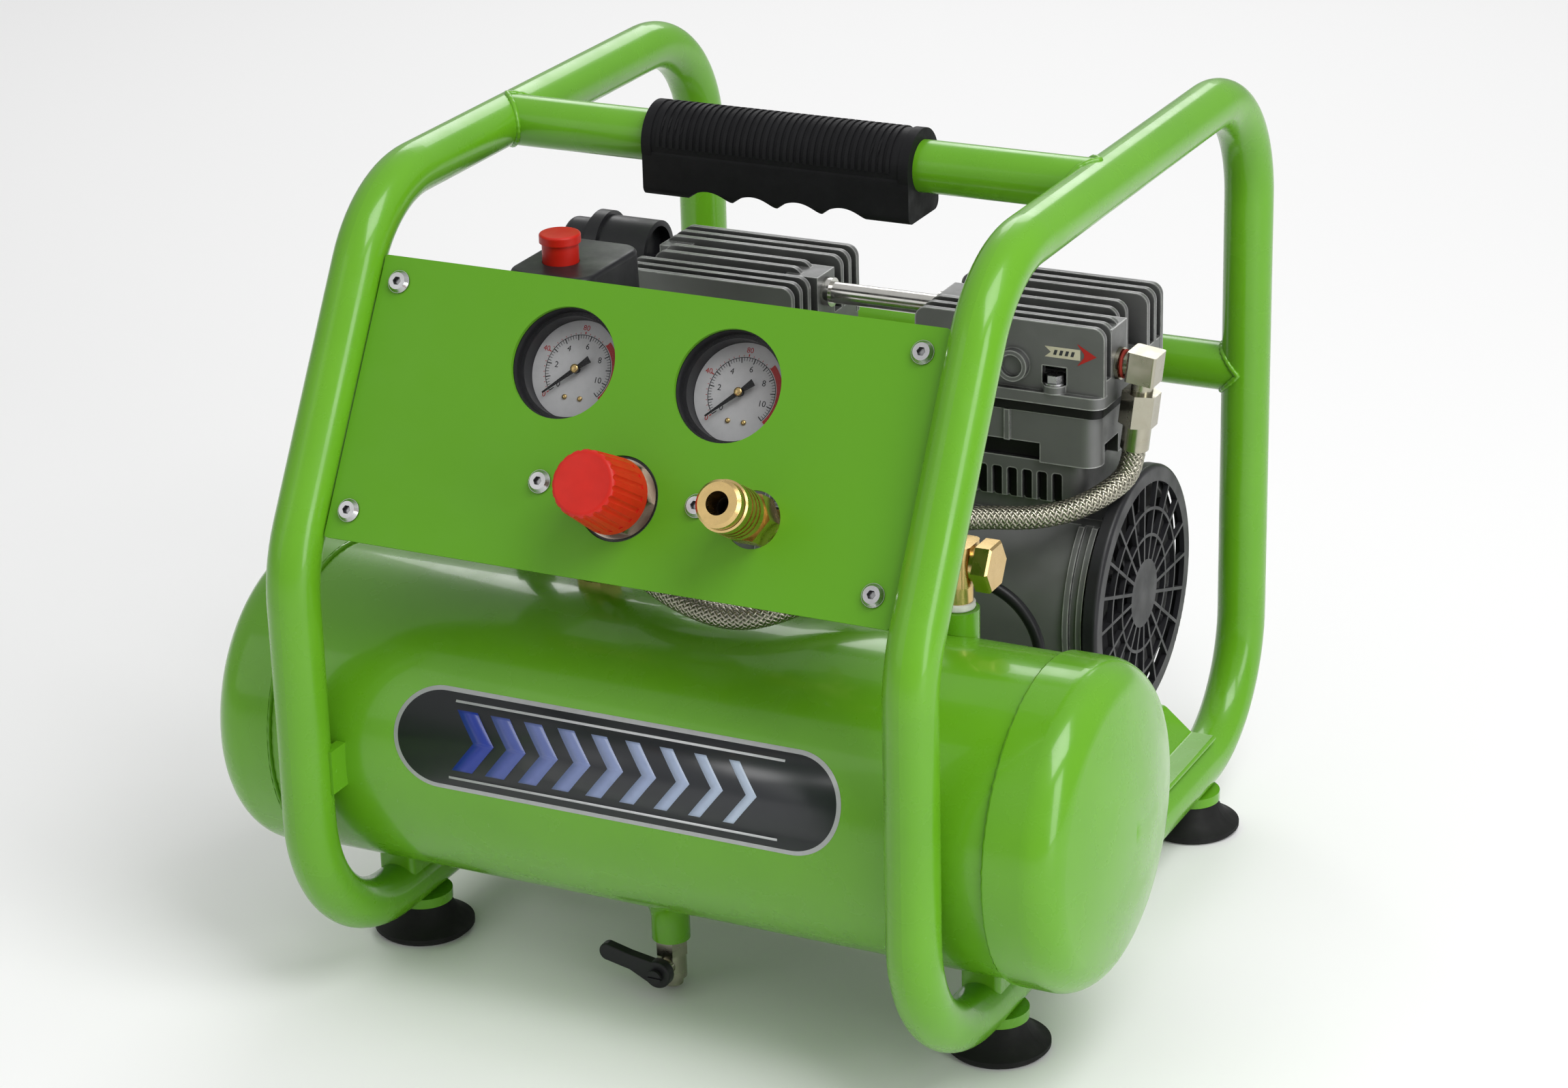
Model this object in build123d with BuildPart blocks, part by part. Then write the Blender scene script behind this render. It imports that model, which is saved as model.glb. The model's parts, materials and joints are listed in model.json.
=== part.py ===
from build123d import *
import math
import os

# Portable twin-piston air compressor. Millimetres. X runs along the tank, +X is the end with the
# outlet elbow, -Y is the front with the control panel, +Z is up. The origin is the centre of the
# overall box, on the surface that the rubber feet stand on.

# ---- driving dimensions -------------------------------------------------------------------------
tube_r = 12.7                     # one-inch steel tube
tube_wall = 1.6
loop_x = 158.3                    # the two side loops lie in the planes x = -loop_x and +loop_x
loop_front_y = -214.3
loop_rear_y = 214.3
loop_low_z = 32.1
loop_high_z = 390.8
knee_z = 232.8                    # the front leg leans back above this height
lean_top_y = -120.6
loop_corners = [
    (loop_rear_y, loop_low_z),
    (loop_front_y, loop_low_z),
    (loop_front_y, knee_z),
    (lean_top_y, loop_high_z),
    (loop_rear_y, loop_high_z),
]
loop_bends = [65.5, 71.0, 68.0, 63.5, 64.0]
weld_gap = 0.05
handle_y = 6.75
brace_z = 232.6

foot_x = 157.8
foot_ys = (-117.6, 142.4)
foot_height = 16.5
foot_base_r = 25.3
foot_top_r = 14.0
foot_disc_r = 15.0

tank_y = -125.0
tank_z = 128.5
tank_r = 76.2                     # six-inch shell
tank_wall = 2.0
shell_half = 195.0
head_seam = 187.0
head_flange_end = 204.0
head_r = 78.2
head_tip = 230.0
knuckle_r = 18.0

drain_x = -12.5
riser_x = -96.0
riser_y = -93.65
check_x = -55.0
check_y = -105.0
port_x = 128.0
port_y = -93.65

panel_half_x = 144.6
panel_low = 16.5                  # measured up the slope from the knee
panel_high = 152.7
panel_t = 2.0
hardware_x = 1.5
gauge_spread = 42.15
gauge_s = 113.5
gauge_hole_r = 26.4
gauge_r = 27.2                      # depths below are measured from the panel's front face
gauge_front = 2.2
gauge_depth = 27.0
cup_r = 25.9                        # the lens sits in this wider mouth
cup_depth = 8.0
lens_depth = 5.8
lens_t = 1.4
dial_depth = 15.0
dial_r = 23.6
needle_zero = 222.0               # degrees, anticlockwise from +X on the dial's face
outlet_s = 55.4
regulator_hole_r = 20.0
coupler_x = 69.5
coupler_hole_r = 13.4
line_depth = 26.0                 # the air line runs this far behind the panel's face
corner_screw_x = 134.2
corner_screw_s = (30.4, 140.4)
bracket_screw_x = (-39.2, 41.2)
bracket_screw_s = 57.5

pump_x = 15.5
motor_y = 76.4
motor_z = 158.0
motor_half = 45.0
case_half = 133.0
barrel_r = 61.0
cylinder_offset = 83.5            # each cylinder stands this far from the pump's middle
crank_throw = 5.0
shaft_r = 7.0
crankpin_r = 13.0
bore_r = 31.5
piston_r = 26.2
rod_length = 96.0
fan_cover_r = 65.6
fan_cover_depth = 7.0
deck_top_z = 206.0
cylinder_top_z = 262.0
plate_t = 6.0
head_base_z = cylinder_top_z + plate_t
head_top_z = 309.0
head_size_x = 100.0
head_size_y = 82.0
port_offset_y = 20.0              # each head's outer port lies this far to one side
port_z = 290.0
transfer_z = 296.0

deck_z = 58.0
deck_t = 3.0
deck_y = (-8.0, 155.0)
mount_top_z = 79.0

switch_x = -93.5
switch_y = -48.0
switch_base_z = 280.0
switch_top_z = 342.0
button_x = -97.0
button_y = -54.7

hose_r = 6.0
lead_r = 3.0

# ---- derived planes -----------------------------------------------------------------------------
lean_run = lean_top_y - loop_front_y
lean_rise = loop_high_z - knee_z
lean_length = math.hypot(lean_run, lean_rise)
up_y = lean_run / lean_length
up_z = lean_rise / lean_length
panel_plane = Plane(origin=(0, loop_front_y, knee_z), x_dir=(1, 0, 0), z_dir=(0, -up_z, up_y))
gauge_xs = {"left": hardware_x - gauge_spread, "right": hardware_x + gauge_spread}
cylinder_xs = {"left": pump_x - cylinder_offset, "right": pump_x + cylinder_offset}
sides = {"left": -1, "right": 1}


def on_panel(x, s, depth=0.0):
    """The point x across, s up the slope and depth behind the panel's face."""
    return (x, loop_front_y + s * up_y + depth * up_z, knee_z + s * up_z - depth * up_y)


def panel_at(x, s, depth=0.0):
    """A plane on the panel at that point, facing out of it."""
    return Plane(origin=on_panel(x, s, depth), x_dir=(1, 0, 0), z_dir=(0, -up_z, up_y))


def across(x, y=motor_y, z=motor_z):
    """A plane square to the X axis, its own axes along Y and Z."""
    return Plane(origin=(x, y, z), x_dir=(0, 1, 0), z_dir=(1, 0, 0))


def save(piece, name):
    """Labels one finished sub-part and writes its STEP file."""
    piece.label = name
    export_step(piece, "parts/" + name + ".step")


os.makedirs("parts", exist_ok=True)


# ---- frame --------------------------------------------------------------------------------------
def frame_loop(side):
    """One side loop: a closed run of bent tube with a weep hole under it."""
    with BuildPart() as loop:
        with BuildLine(Plane.YZ.offset(side * loop_x)) as path:
            FilletPolyline(*loop_corners, radius=loop_bends, close=True)
        with BuildSketch(Plane(origin=path.line @ 0, z_dir=path.line % 0)):
            Circle(tube_r)
        sweep(path=path.line)
        with BuildSketch(Plane(origin=path.line @ 0, z_dir=path.line % 0)):
            Circle(tube_r - tube_wall)
        sweep(path=path.line, mode=Mode.SUBTRACT)
        with BuildSketch(Plane.XY.offset(loop_low_z - tube_r - 1)):
            with Locations((side * loop_x, 40)):
                Circle(2.5)
        extrude(amount=1 + 2 * tube_wall, mode=Mode.SUBTRACT)
    return loop.part


for side_name, side in sides.items():
    save(frame_loop(side), "frame_loop_" + side_name)


def cross_tube(y, z, leg_dir):
    """A straight tube between the loops, its ends coped round them."""
    with BuildPart() as tube:
        with BuildSketch(across(-loop_x, y, z)):
            Circle(tube_r)
            Circle(tube_r - tube_wall, mode=Mode.SUBTRACT)
        extrude(amount=2 * loop_x)
        for side in sides.values():
            start = Vector(side * loop_x, y, z) - Vector(*leg_dir) * 30
            with BuildSketch(Plane(origin=start, z_dir=leg_dir)):
                Circle(tube_r + weld_gap)
            extrude(amount=60, mode=Mode.SUBTRACT)
    return tube.part


save(cross_tube(handle_y, loop_high_z, (0, 1, 0)), "handle_bar")
save(cross_tube(loop_rear_y, brace_z, (0, 0, 1)), "rear_brace")

# moulded rubber grip: ribbed round top, flat sides, four finger scallops underneath
grip_x = (-74.0, 68.0)
grip_r = 17.6
rib_r = 18.3
grip_low = -25.4
finger_pitch = 24.0
finger_depth = 5.3
finger_r = (finger_pitch ** 2 / 4 + finger_depth ** 2) / (2 * finger_depth)
rib_pitch = 3.6
with BuildPart() as handle_grip:
    with BuildSketch(across(grip_x[0], handle_y, loop_high_z)):
        Circle(grip_r)
        with Locations((0, grip_low / 2)):
            RectangleRounded(2 * grip_r, -grip_low, 4.5)
    extrude(amount=grip_x[1] - grip_x[0])
    finger_mid = (grip_x[0] + grip_x[1]) / 2
    finger_z = loop_high_z + grip_low - finger_r + finger_depth
    finger_plane = Plane(origin=(finger_mid, handle_y - 30, finger_z), x_dir=(1, 0, 0), z_dir=(0, 1, 0))
    with BuildSketch(finger_plane):
        with GridLocations(finger_pitch, 1, 4, 1):
            Circle(finger_r)
    extrude(amount=60, mode=Mode.SUBTRACT)
    rib_count = int((grip_x[1] - grip_x[0] - 14) / rib_pitch)
    for rib in range(rib_count):
        rib_x = grip_x[0] + 8 + rib * rib_pitch
        with BuildSketch(across(rib_x, handle_y, loop_high_z)):
            Circle(rib_r)
            with Locations((0, -15)):
                Rectangle(50, 30, mode=Mode.SUBTRACT)
        extrude(amount=rib_pitch / 2)
    for collar_x in (grip_x[0], grip_x[1] - 5):
        with BuildSketch(across(collar_x, handle_y, loop_high_z)):
            Circle(rib_r)
        extrude(amount=5)
    with BuildSketch(across(grip_x[0] - 1, handle_y, loop_high_z)):
        Circle(tube_r + weld_gap)
    extrude(amount=grip_x[1] - grip_x[0] + 2, mode=Mode.SUBTRACT)
save(handle_grip.part, "handle_grip")

# feet: a steel disc welded under each corner with a rubber cone bolted to it
foot_points = [(side * foot_x, y) for side in sides.values() for y in foot_ys]
with BuildPart() as foot_discs:
    with BuildSketch(Plane.XY.offset(foot_height)):
        with Locations(*foot_points):
            Circle(foot_disc_r)
    extrude(amount=5)
    for side in sides.values():
        with BuildSketch(Plane(origin=(side * loop_x, -200, loop_low_z), z_dir=(0, 1, 0))):
            Circle(tube_r + weld_gap)
        extrude(amount=400, mode=Mode.SUBTRACT)

with BuildPart() as rubber_foot:
    with BuildSketch(Plane.XZ):
        with BuildLine():
            Polyline((0, 0), (foot_base_r - 2, 0), (foot_base_r, 2), (foot_base_r, 4))
            Spline((foot_base_r, 4), (foot_base_r - 7.5, 9), (foot_top_r, foot_height))
            Polyline((foot_top_r, foot_height), (0, foot_height), (0, 0))
        make_face()
    revolve(axis=Axis.Z)
with BuildPart() as rubber_feet:
    with Locations(*[(x, y, 0) for x, y in foot_points]):
        add(rubber_foot.part)
save(rubber_feet.part, "rubber_feet")

# folded deck that carries the pump: a raised platform with flanges that slope down to the loops
deck_flat_x = 137.0
lip_x = (152.0, 165.0)
lip_z = loop_low_z + tube_r + 0.35
with BuildPart() as motor_deck:
    with BuildSketch(Plane(origin=(0, deck_y[0], 0), x_dir=(1, 0, 0), z_dir=(0, -1, 0))):
        with BuildLine():
            FilletPolyline(
                (-lip_x[1], lip_z + deck_t / 2),
                (-lip_x[0], lip_z + deck_t / 2),
                (-deck_flat_x, deck_z + deck_t / 2),
                (deck_flat_x, deck_z + deck_t / 2),
                (lip_x[0], lip_z + deck_t / 2),
                (lip_x[1], lip_z + deck_t / 2),
                radius=4,
            )
            offset(amount=deck_t / 2)
        make_face()
    extrude(amount=-(deck_y[1] - deck_y[0]))
save(motor_deck.part, "motor_deck")

# four rubber pucks under the crankcase feet
puck_points = [
    (pump_x + side * cylinder_offset, motor_y + lug * 46) for side in (-1, 1) for lug in (-1, 1)
]
with BuildPart() as deck_mounts:
    with BuildSketch(Plane.XY.offset(deck_z + deck_t)):
        with Locations(*puck_points):
            Circle(11)
    extrude(amount=mount_top_z - deck_z - deck_t)
    waist_z = (mount_top_z + deck_z + deck_t) / 2
    for x, y in puck_points:
        with BuildSketch(Plane.XZ.offset(-y)):
            with Locations((x + 12.5, waist_z)):
                Circle(3.5)
        revolve(axis=Axis((x, y, 0), (0, 0, 1)), mode=Mode.SUBTRACT)
save(deck_mounts.part, "deck_mounts")

# ---- tank ---------------------------------------------------------------------------------------
with BuildPart() as tank_shell:
    with BuildSketch(across(-shell_half, tank_y, tank_z)):
        Circle(tank_r)
        Circle(tank_r - tank_wall, mode=Mode.SUBTRACT)
    extrude(amount=2 * shell_half)
    for bung_x, bung_y, bung_z in ((riser_x, riser_y, 185), (check_x, check_y, 185), (port_x, port_y, 185)):
        with BuildSketch(Plane(origin=(bung_x, bung_y, bung_z))):
            Circle(11)
        extrude(amount=20, mode=Mode.SUBTRACT)
    with BuildSketch(Plane(origin=(drain_x, tank_y, 48))):
        Circle(11)
    extrude(amount=10, mode=Mode.SUBTRACT)
save(tank_shell.part, "tank_shell")


def dome_profile(skin):
    """Outer edge of a head's half section, moved in by skin: knuckle centre, dome centre, touch point."""
    knuckle_centre = Vector(head_flange_end, head_r - knuckle_r)
    depth = head_tip - head_flange_end
    run = (knuckle_centre.Y ** 2 - (depth - knuckle_r) ** 2) / (2 * (depth - knuckle_r))
    dome_centre = Vector(head_flange_end - run, 0)
    away = (knuckle_centre - dome_centre).normalized()
    touch = knuckle_centre + away * (knuckle_r - skin)
    bisector = (away + Vector(0, 1)).normalized()
    middle = knuckle_centre + bisector * (knuckle_r - skin)
    dome_r = head_tip - dome_centre.X - skin
    half_angle = math.atan2(away.Y, away.X) / 2
    dome_middle = dome_centre + Vector(math.cos(half_angle), math.sin(half_angle)) * dome_r
    return middle, touch, dome_middle


def tank_head(side):
    """A dished head whose straight flange slips over the shell."""
    skin = tank_wall - weld_gap
    outer_mid, outer_touch, outer_dome = dome_profile(0)
    inner_mid, inner_touch, inner_dome = dome_profile(skin)
    with BuildPart() as head:
        with BuildSketch(Plane(origin=(0, tank_y, tank_z), x_dir=(side, 0, 0), z_dir=(0, -side, 0))):
            with BuildLine():
                Polyline((head_seam, head_r - skin), (head_seam, head_r), (head_flange_end, head_r))
                ThreePointArc((head_flange_end, head_r), outer_mid, outer_touch)
                ThreePointArc(outer_touch, outer_dome, (head_tip, 0))
                Line((head_tip, 0), (head_tip - skin, 0))
                ThreePointArc((head_tip - skin, 0), inner_dome, inner_touch)
                ThreePointArc(inner_touch, inner_mid, (head_flange_end, head_r - skin))
                Line((head_flange_end, head_r - skin), (head_seam, head_r - skin))
            make_face()
        revolve(axis=Axis((0, tank_y, tank_z), (1, 0, 0)))
    return head.part


for side_name, side in sides.items():
    save(tank_head(side), "tank_head_" + side_name)

# saddles between the tank and the loops, and small tabs that tie its front to the legs
with BuildPart() as tank_saddles:
    for side in sides.values():
        with BuildSketch(Plane.XY.offset(loop_low_z)):
            with Locations((side * loop_x, tank_y + 12)):
                RectangleRounded(20, 56, 3)
        extrude(amount=40)
        with BuildSketch(Plane.XY.offset(tank_z - 11)):
            with Locations((side * (loop_x - tube_r + 1), loop_front_y + 9.5)):
                Rectangle(5, 17)
        extrude(amount=22)
    with BuildSketch(across(-200, tank_y, tank_z)):
        Circle(tank_r + weld_gap)
    extrude(amount=400, mode=Mode.SUBTRACT)
    for side in sides.values():
        with BuildSketch(Plane(origin=(side * loop_x, -260, loop_low_z), z_dir=(0, 1, 0))):
            Circle(tube_r + weld_gap)
        extrude(amount=300, mode=Mode.SUBTRACT)
        with BuildSketch(Plane(origin=(side * loop_x, loop_front_y, 90))):
            Circle(tube_r + weld_gap)
        extrude(amount=80, mode=Mode.SUBTRACT)

# threaded bungs welded into the tank: three on top and the flared drain bung below
bung_r = 10.5
thread_r = 6.6
with BuildPart() as tank_bungs:
    for x, y, low, high in (
        (riser_x, riser_y, 188, 206),
        (check_x, check_y, 188, 204),
        (port_x, port_y, 188, 212),
    ):
        with BuildSketch(Plane(origin=(x, y, low))):
            Circle(bung_r)
            Circle(thread_r, mode=Mode.SUBTRACT)
        extrude(amount=high - low)
    with BuildSketch(Plane(origin=(drain_x, tank_y, 0), x_dir=(1, 0, 0), z_dir=(0, -1, 0))):
        with BuildLine():
            Polyline((thread_r, 56), (thread_r, 27), (9.5, 27), (9.5, 36))
            Spline((9.5, 36), (10.4, 43), (15, 50))
            Polyline((15, 50), (10.5, 52), (10.5, 56), (thread_r, 56))
        make_face()
    revolve(axis=Axis((drain_x, tank_y, 0), (0, 0, 1)))
    with BuildSketch(across(-200, tank_y, tank_z)):
        Circle(tank_r + weld_gap)
        Circle(tank_r - tank_wall - weld_gap, mode=Mode.SUBTRACT)
        with Locations((0, -tank_r)):
            Rectangle(21.6, 30, mode=Mode.SUBTRACT)
        with Locations((0, tank_r)):
            Rectangle(60, 60, mode=Mode.SUBTRACT)
        with Locations((port_y - tank_y, tank_r)):
            Rectangle(24, 60, mode=Mode.SUBTRACT)
    extrude(amount=400, mode=Mode.SUBTRACT)
save(tank_bungs.part, "tank_bungs")

# quarter-turn drain valve under the tank
stem_z = 13.5
with BuildPart() as drain_valve_body:
    with BuildSketch(Plane(origin=(drain_x, tank_y, 2))):
        Circle(5.2)
    extrude(amount=6)
    with BuildSketch(Plane(origin=(drain_x, tank_y, 6))):
        Circle(7.2)
    extrude(amount=14)
    with BuildSketch(Plane(origin=(drain_x, tank_y, 19))):
        RegularPolygon(7.4, 6, major_radius=False)
    extrude(amount=7.9)
    with BuildSketch(Plane(origin=(drain_x, tank_y, 26))):
        Circle(thread_r - weld_gap)
    extrude(amount=18)
    with BuildSketch(Plane(origin=(drain_x, tank_y, stem_z), x_dir=(1, 0, 0), z_dir=(0, -1, 0))):
        Circle(4.6)
    extrude(amount=11.8)
    with BuildSketch(Plane(origin=(drain_x, tank_y - 11, stem_z), x_dir=(1, 0, 0), z_dir=(0, -1, 0))):
        Circle(2.2)
    extrude(amount=7)
    with BuildSketch(Plane(origin=(drain_x, tank_y, 1))):
        Circle(3)
    extrude(amount=40, mode=Mode.SUBTRACT)
save(drain_valve_body.part, "drain_valve_body")

lever_plane = Plane(origin=(drain_x, tank_y - 12, stem_z), x_dir=(1, 0, 0), z_dir=(0, -1, 0))
lever_rise = 7.0
with BuildPart() as drain_lever:
    with BuildSketch(lever_plane):
        Circle(7.2)
        with BuildLine():
            Polyline((-2, 6.6), (-15, 5.2 + lever_rise / 2), (-27, 4.6 + lever_rise))
            ThreePointArc((-27, 4.6 + lever_rise), (-31.5, lever_rise), (-27, -4.6 + lever_rise))
            Polyline((-27, -4.6 + lever_rise), (-15, -3.6 + lever_rise / 2), (-2, -6.6), (-2, 6.6))
        make_face()
        Circle(2.25, mode=Mode.SUBTRACT)
    extrude(amount=5)
    fillet(drain_lever.faces().sort_by(Axis.Y)[0].outer_wire().edges(), 1.2)
with BuildPart() as lever_screw:
    with BuildSketch(Plane(origin=(drain_x, tank_y - 18.2, stem_z), x_dir=(1, 0, 0), z_dir=(0, -1, 0))):
        Circle(3.6)
    extrude(amount=1.6)
    with BuildSketch(Plane(origin=(drain_x, tank_y - 19.8, stem_z), x_dir=(1, 0, 0), z_dir=(0, -1, 0))):
        Rectangle(8, 0.9)
    extrude(amount=-0.8, mode=Mode.SUBTRACT)
with BuildPart() as lever_and_screw:
    add(drain_lever.part)
    add(lever_screw.part)
save(lever_and_screw.part, "drain_lever")

# ---- control panel ------------------------------------------------------------------------------
with BuildPart() as control_panel:
    with BuildSketch(panel_plane):
        with Locations((0, (panel_low + panel_high) / 2)):
            RectangleRounded(2 * panel_half_x, panel_high - panel_low, 1.5)
        with Locations(*[(x, gauge_s) for x in gauge_xs.values()]):
            Circle(gauge_hole_r, mode=Mode.SUBTRACT)
        with Locations((hardware_x, outlet_s)):
            Circle(regulator_hole_r, mode=Mode.SUBTRACT)
        with Locations((coupler_x, outlet_s)):
            Circle(coupler_hole_r, mode=Mode.SUBTRACT)
        with Locations(*[(side * corner_screw_x, s) for side in (-1, 1) for s in corner_screw_s]):
            Circle(2.75, mode=Mode.SUBTRACT)
        with Locations(*[(x, bracket_screw_s) for x in bracket_screw_x]):
            Circle(2.75, mode=Mode.SUBTRACT)
    extrude(amount=-panel_t)
save(control_panel.part, "control_panel")

tab_t = 3.0
with BuildPart() as panel_tabs:
    with BuildSketch(panel_at(0, 0, panel_t)):
        for side in sides.values():
            for s in corner_screw_s:
                with Locations((side * 134.5, s - 1.5)):
                    Rectangle(26, 15)
                with Locations((side * corner_screw_x, s)):
                    Circle(2.55, mode=Mode.SUBTRACT)
    extrude(amount=-tab_t)
    for side in sides.values():
        with BuildSketch(Plane(origin=on_panel(side * loop_x, 0), x_dir=(1, 0, 0), z_dir=(0, up_y, up_z))):
            Circle(tube_r + weld_gap)
        extrude(amount=lean_length, mode=Mode.SUBTRACT)

# the small welded steel pieces share one node
with BuildPart() as weld_brackets:
    add(foot_discs.part)
    add(tank_saddles.part)
    add(panel_tabs.part)
save(weld_brackets.part, "weld_brackets")

screw_spots = [(side * corner_screw_x, s) for side in (-1, 1) for s in corner_screw_s]
screw_spots += [(x, bracket_screw_s) for x in bracket_screw_x]
with BuildPart() as panel_screws:
    for x, s in screw_spots:
        with BuildSketch(panel_at(x, s)):
            Circle(5.5)
        extrude(amount=1.0)
        with BuildSketch(panel_at(x, s, -1.0)):
            Circle(5.4)
        extrude(amount=1.9, taper=35)
        with BuildSketch(panel_at(x, s)):
            Circle(2.5)
        extrude(amount=-9)
        with BuildSketch(panel_at(x, s, -2.9)):
            RegularPolygon(1.9, 6, major_radius=False)
        extrude(amount=-2, mode=Mode.SUBTRACT)

with BuildPart() as regulator_bracket:
    with BuildSketch(panel_at(0, 0, panel_t)):
        with Locations((-1.5, outlet_s)):
            RectangleRounded(98, 44, 5)
        with Locations((hardware_x, outlet_s)):
            Circle(14.3, mode=Mode.SUBTRACT)
        with Locations(*[(x, bracket_screw_s) for x in bracket_screw_x]):
            Circle(2.55, mode=Mode.SUBTRACT)
    extrude(amount=-tab_t)
save(regulator_bracket.part, "regulator_bracket")


def gauge_case(x):
    """A round gauge cup close behind the panel's hole, with a wider mouth and a threaded stem."""
    with BuildPart() as case:
        with BuildSketch(panel_at(x, gauge_s, gauge_depth)):
            Circle(gauge_r)
        extrude(amount=gauge_depth - gauge_front)
        fillet(case.edges().filter_by(GeomType.CIRCLE).sort_by(Axis((0, 0, 0), (0, -up_z, up_y)))[-1], 0.7)
        with BuildSketch(panel_at(x, gauge_s, dial_depth + 2)):
            Circle(dial_r + 0.2)
        extrude(amount=dial_depth + 4, mode=Mode.SUBTRACT)
        with BuildSketch(panel_at(x, gauge_s, cup_depth)):
            Circle(cup_r)
        extrude(amount=cup_depth, mode=Mode.SUBTRACT)
        with BuildSketch(panel_at(x, gauge_s, gauge_depth)):
            Circle(6.5)
        extrude(amount=-9)
        with BuildSketch(panel_at(x, gauge_s, dial_depth + 2)):
            Circle(1.1)
        extrude(amount=2.9)
    return case.part


def gauge_needle(x):
    """A tapered pointer and its hub, resting at zero."""
    with BuildPart() as needle:
        with BuildSketch(panel_at(x, gauge_s, dial_depth - 0.9)):
            Circle(2.1)
        extrude(amount=1.9)
        turn = math.radians(needle_zero)
        point_dir = (math.cos(turn), math.sin(turn) * up_y, math.sin(turn) * up_z)
        pivot = on_panel(x, gauge_s, dial_depth - 1.4)
        with BuildSketch(Plane(origin=pivot, x_dir=point_dir, z_dir=(0, -up_z, up_y))):
            Polygon((0, 1.1), (0, -1.1), (19.5, -0.3), (19.5, 0.3), align=None)
            Polygon((0, 0.8), (-8, 1.7), (-8, -1.7), (0, -0.8), align=None)
        extrude(amount=0.6)
        with BuildSketch(panel_at(x, gauge_s, dial_depth)):
            Circle(1.14)
        extrude(amount=1.0, mode=Mode.SUBTRACT)
    return needle.part


for side_name, x in gauge_xs.items():
    save(gauge_case(x), "gauge_case_" + side_name)
    save(gauge_needle(x), "gauge_needle_" + side_name)

with BuildPart() as gauge_dials:
    for x in gauge_xs.values():
        with BuildSketch(panel_at(x, gauge_s, dial_depth + 1.9)):
            Circle(dial_r)
            Circle(1.3, mode=Mode.SUBTRACT)
        extrude(amount=0.8)
save(gauge_dials.part, "gauge_dials")

with BuildPart() as gauge_lenses:
    for x in gauge_xs.values():
        with BuildSketch(panel_at(x, gauge_s, lens_depth)):
            Circle(cup_r - 0.15)
        extrude(amount=lens_t)
save(gauge_lenses.part, "gauge_lenses")

# pressure regulator: body behind the panel, lock nut in its hole, fluted knob in front
with BuildPart() as regulator_body:
    with BuildSketch(panel_at(hardware_x, outlet_s, 46)):
        Circle(13)
    extrude(amount=8)
    with BuildSketch(panel_at(hardware_x, outlet_s, 40)):
        Circle(17.5)
    extrude(amount=32)
    with BuildSketch(panel_at(hardware_x, outlet_s, 9)):
        Circle(14)
    extrude(amount=12)
    with BuildSketch(panel_at(hardware_x, outlet_s)):
        Circle(9.4)
    extrude(amount=13)
    with BuildSketch(across(hardware_x - 30, *on_panel(0, outlet_s, line_depth)[1:])):
        RegularPolygon(9.5, 6, major_radius=False)
    extrude(amount=60)
save(regulator_body.part, "regulator_body")

with BuildPart() as regulator_nut:
    with BuildSketch(panel_at(hardware_x, outlet_s, 1.9)):
        Circle(18.6)
        Circle(14.05, mode=Mode.SUBTRACT)
    extrude(amount=1.4)
    with BuildSketch(panel_at(hardware_x, outlet_s, 0.5)):
        RegularPolygon(15.5, 6, major_radius=False)
        Circle(14.05, mode=Mode.SUBTRACT)
    extrude(amount=5.5)
save(regulator_nut.part, "regulator_nut")

knob_low = 7.0
knob_high = 37.5
knob_base_r = 18.0
knob_front_r = 15.6
flute_count = 20
with BuildPart() as regulator_knob:
    with BuildSketch(panel_at(hardware_x, outlet_s, -knob_low)):
        Circle(knob_base_r)
    with BuildSketch(panel_at(hardware_x, outlet_s, -knob_high)):
        Circle(knob_front_r)
    loft()
    front_edge = regulator_knob.edges().filter_by(GeomType.CIRCLE).sort_by(SortBy.LENGTH)[0]
    fillet(front_edge, 2.5)
    for flute in range(flute_count):
        angle = math.radians(360 / flute_count * flute)
        low = panel_at(hardware_x, outlet_s, -knob_low - 4)
        high = panel_at(hardware_x, outlet_s, -knob_high - 1)
        reach_low = knob_base_r + 1.1
        reach_high = knob_front_r + 1.0
        with BuildSketch(low):
            with Locations((reach_low * math.cos(angle), reach_low * math.sin(angle))):
                Circle(1.9)
        with BuildSketch(high):
            with Locations((reach_high * math.cos(angle), reach_high * math.sin(angle))):
                Circle(1.9)
        loft(mode=Mode.SUBTRACT)
    with BuildSketch(panel_at(hardware_x, outlet_s, -knob_low + 1)):
        Circle(9.45)
    extrude(amount=7.3, mode=Mode.SUBTRACT)
save(regulator_knob.part, "regulator_knob")

# quick coupler: hexagon and nose in one piece, with a grooved release sleeve that slides on it
coupler_bore_r = 5.5
coupler_bore_length = 22.0
coupler_tip = 39.5
with BuildPart() as coupler_body:
    with BuildSketch(panel_at(coupler_x, outlet_s, line_depth + 8)):
        RectangleRounded(17, 17, 2)
    extrude(amount=16)
    with BuildSketch(panel_at(coupler_x, outlet_s, line_depth - 8)):
        Circle(8)
    extrude(amount=line_depth - 8)
    with BuildSketch(panel_at(coupler_x, outlet_s, 4)):
        RegularPolygon(10.8, 6, major_radius=False)
    extrude(amount=13)
    with BuildSketch(panel_at(coupler_x, outlet_s)):
        Circle(9.5)
    extrude(amount=coupler_tip)
    with BuildSketch(panel_at(coupler_x, outlet_s, -34.2)):
        Circle(11.0)
    extrude(amount=coupler_tip - 34.2)
    nose = coupler_body.edges().filter_by(GeomType.CIRCLE).sort_by(Axis((0, 0, 0), (0, -up_z, up_y)))[-1]
    chamfer(nose, 1.4)
    with BuildSketch(panel_at(coupler_x, outlet_s, -coupler_tip)):
        Circle(coupler_bore_r)
    extrude(amount=-coupler_bore_length, mode=Mode.SUBTRACT)
save(coupler_body.part, "coupler_body")

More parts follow.
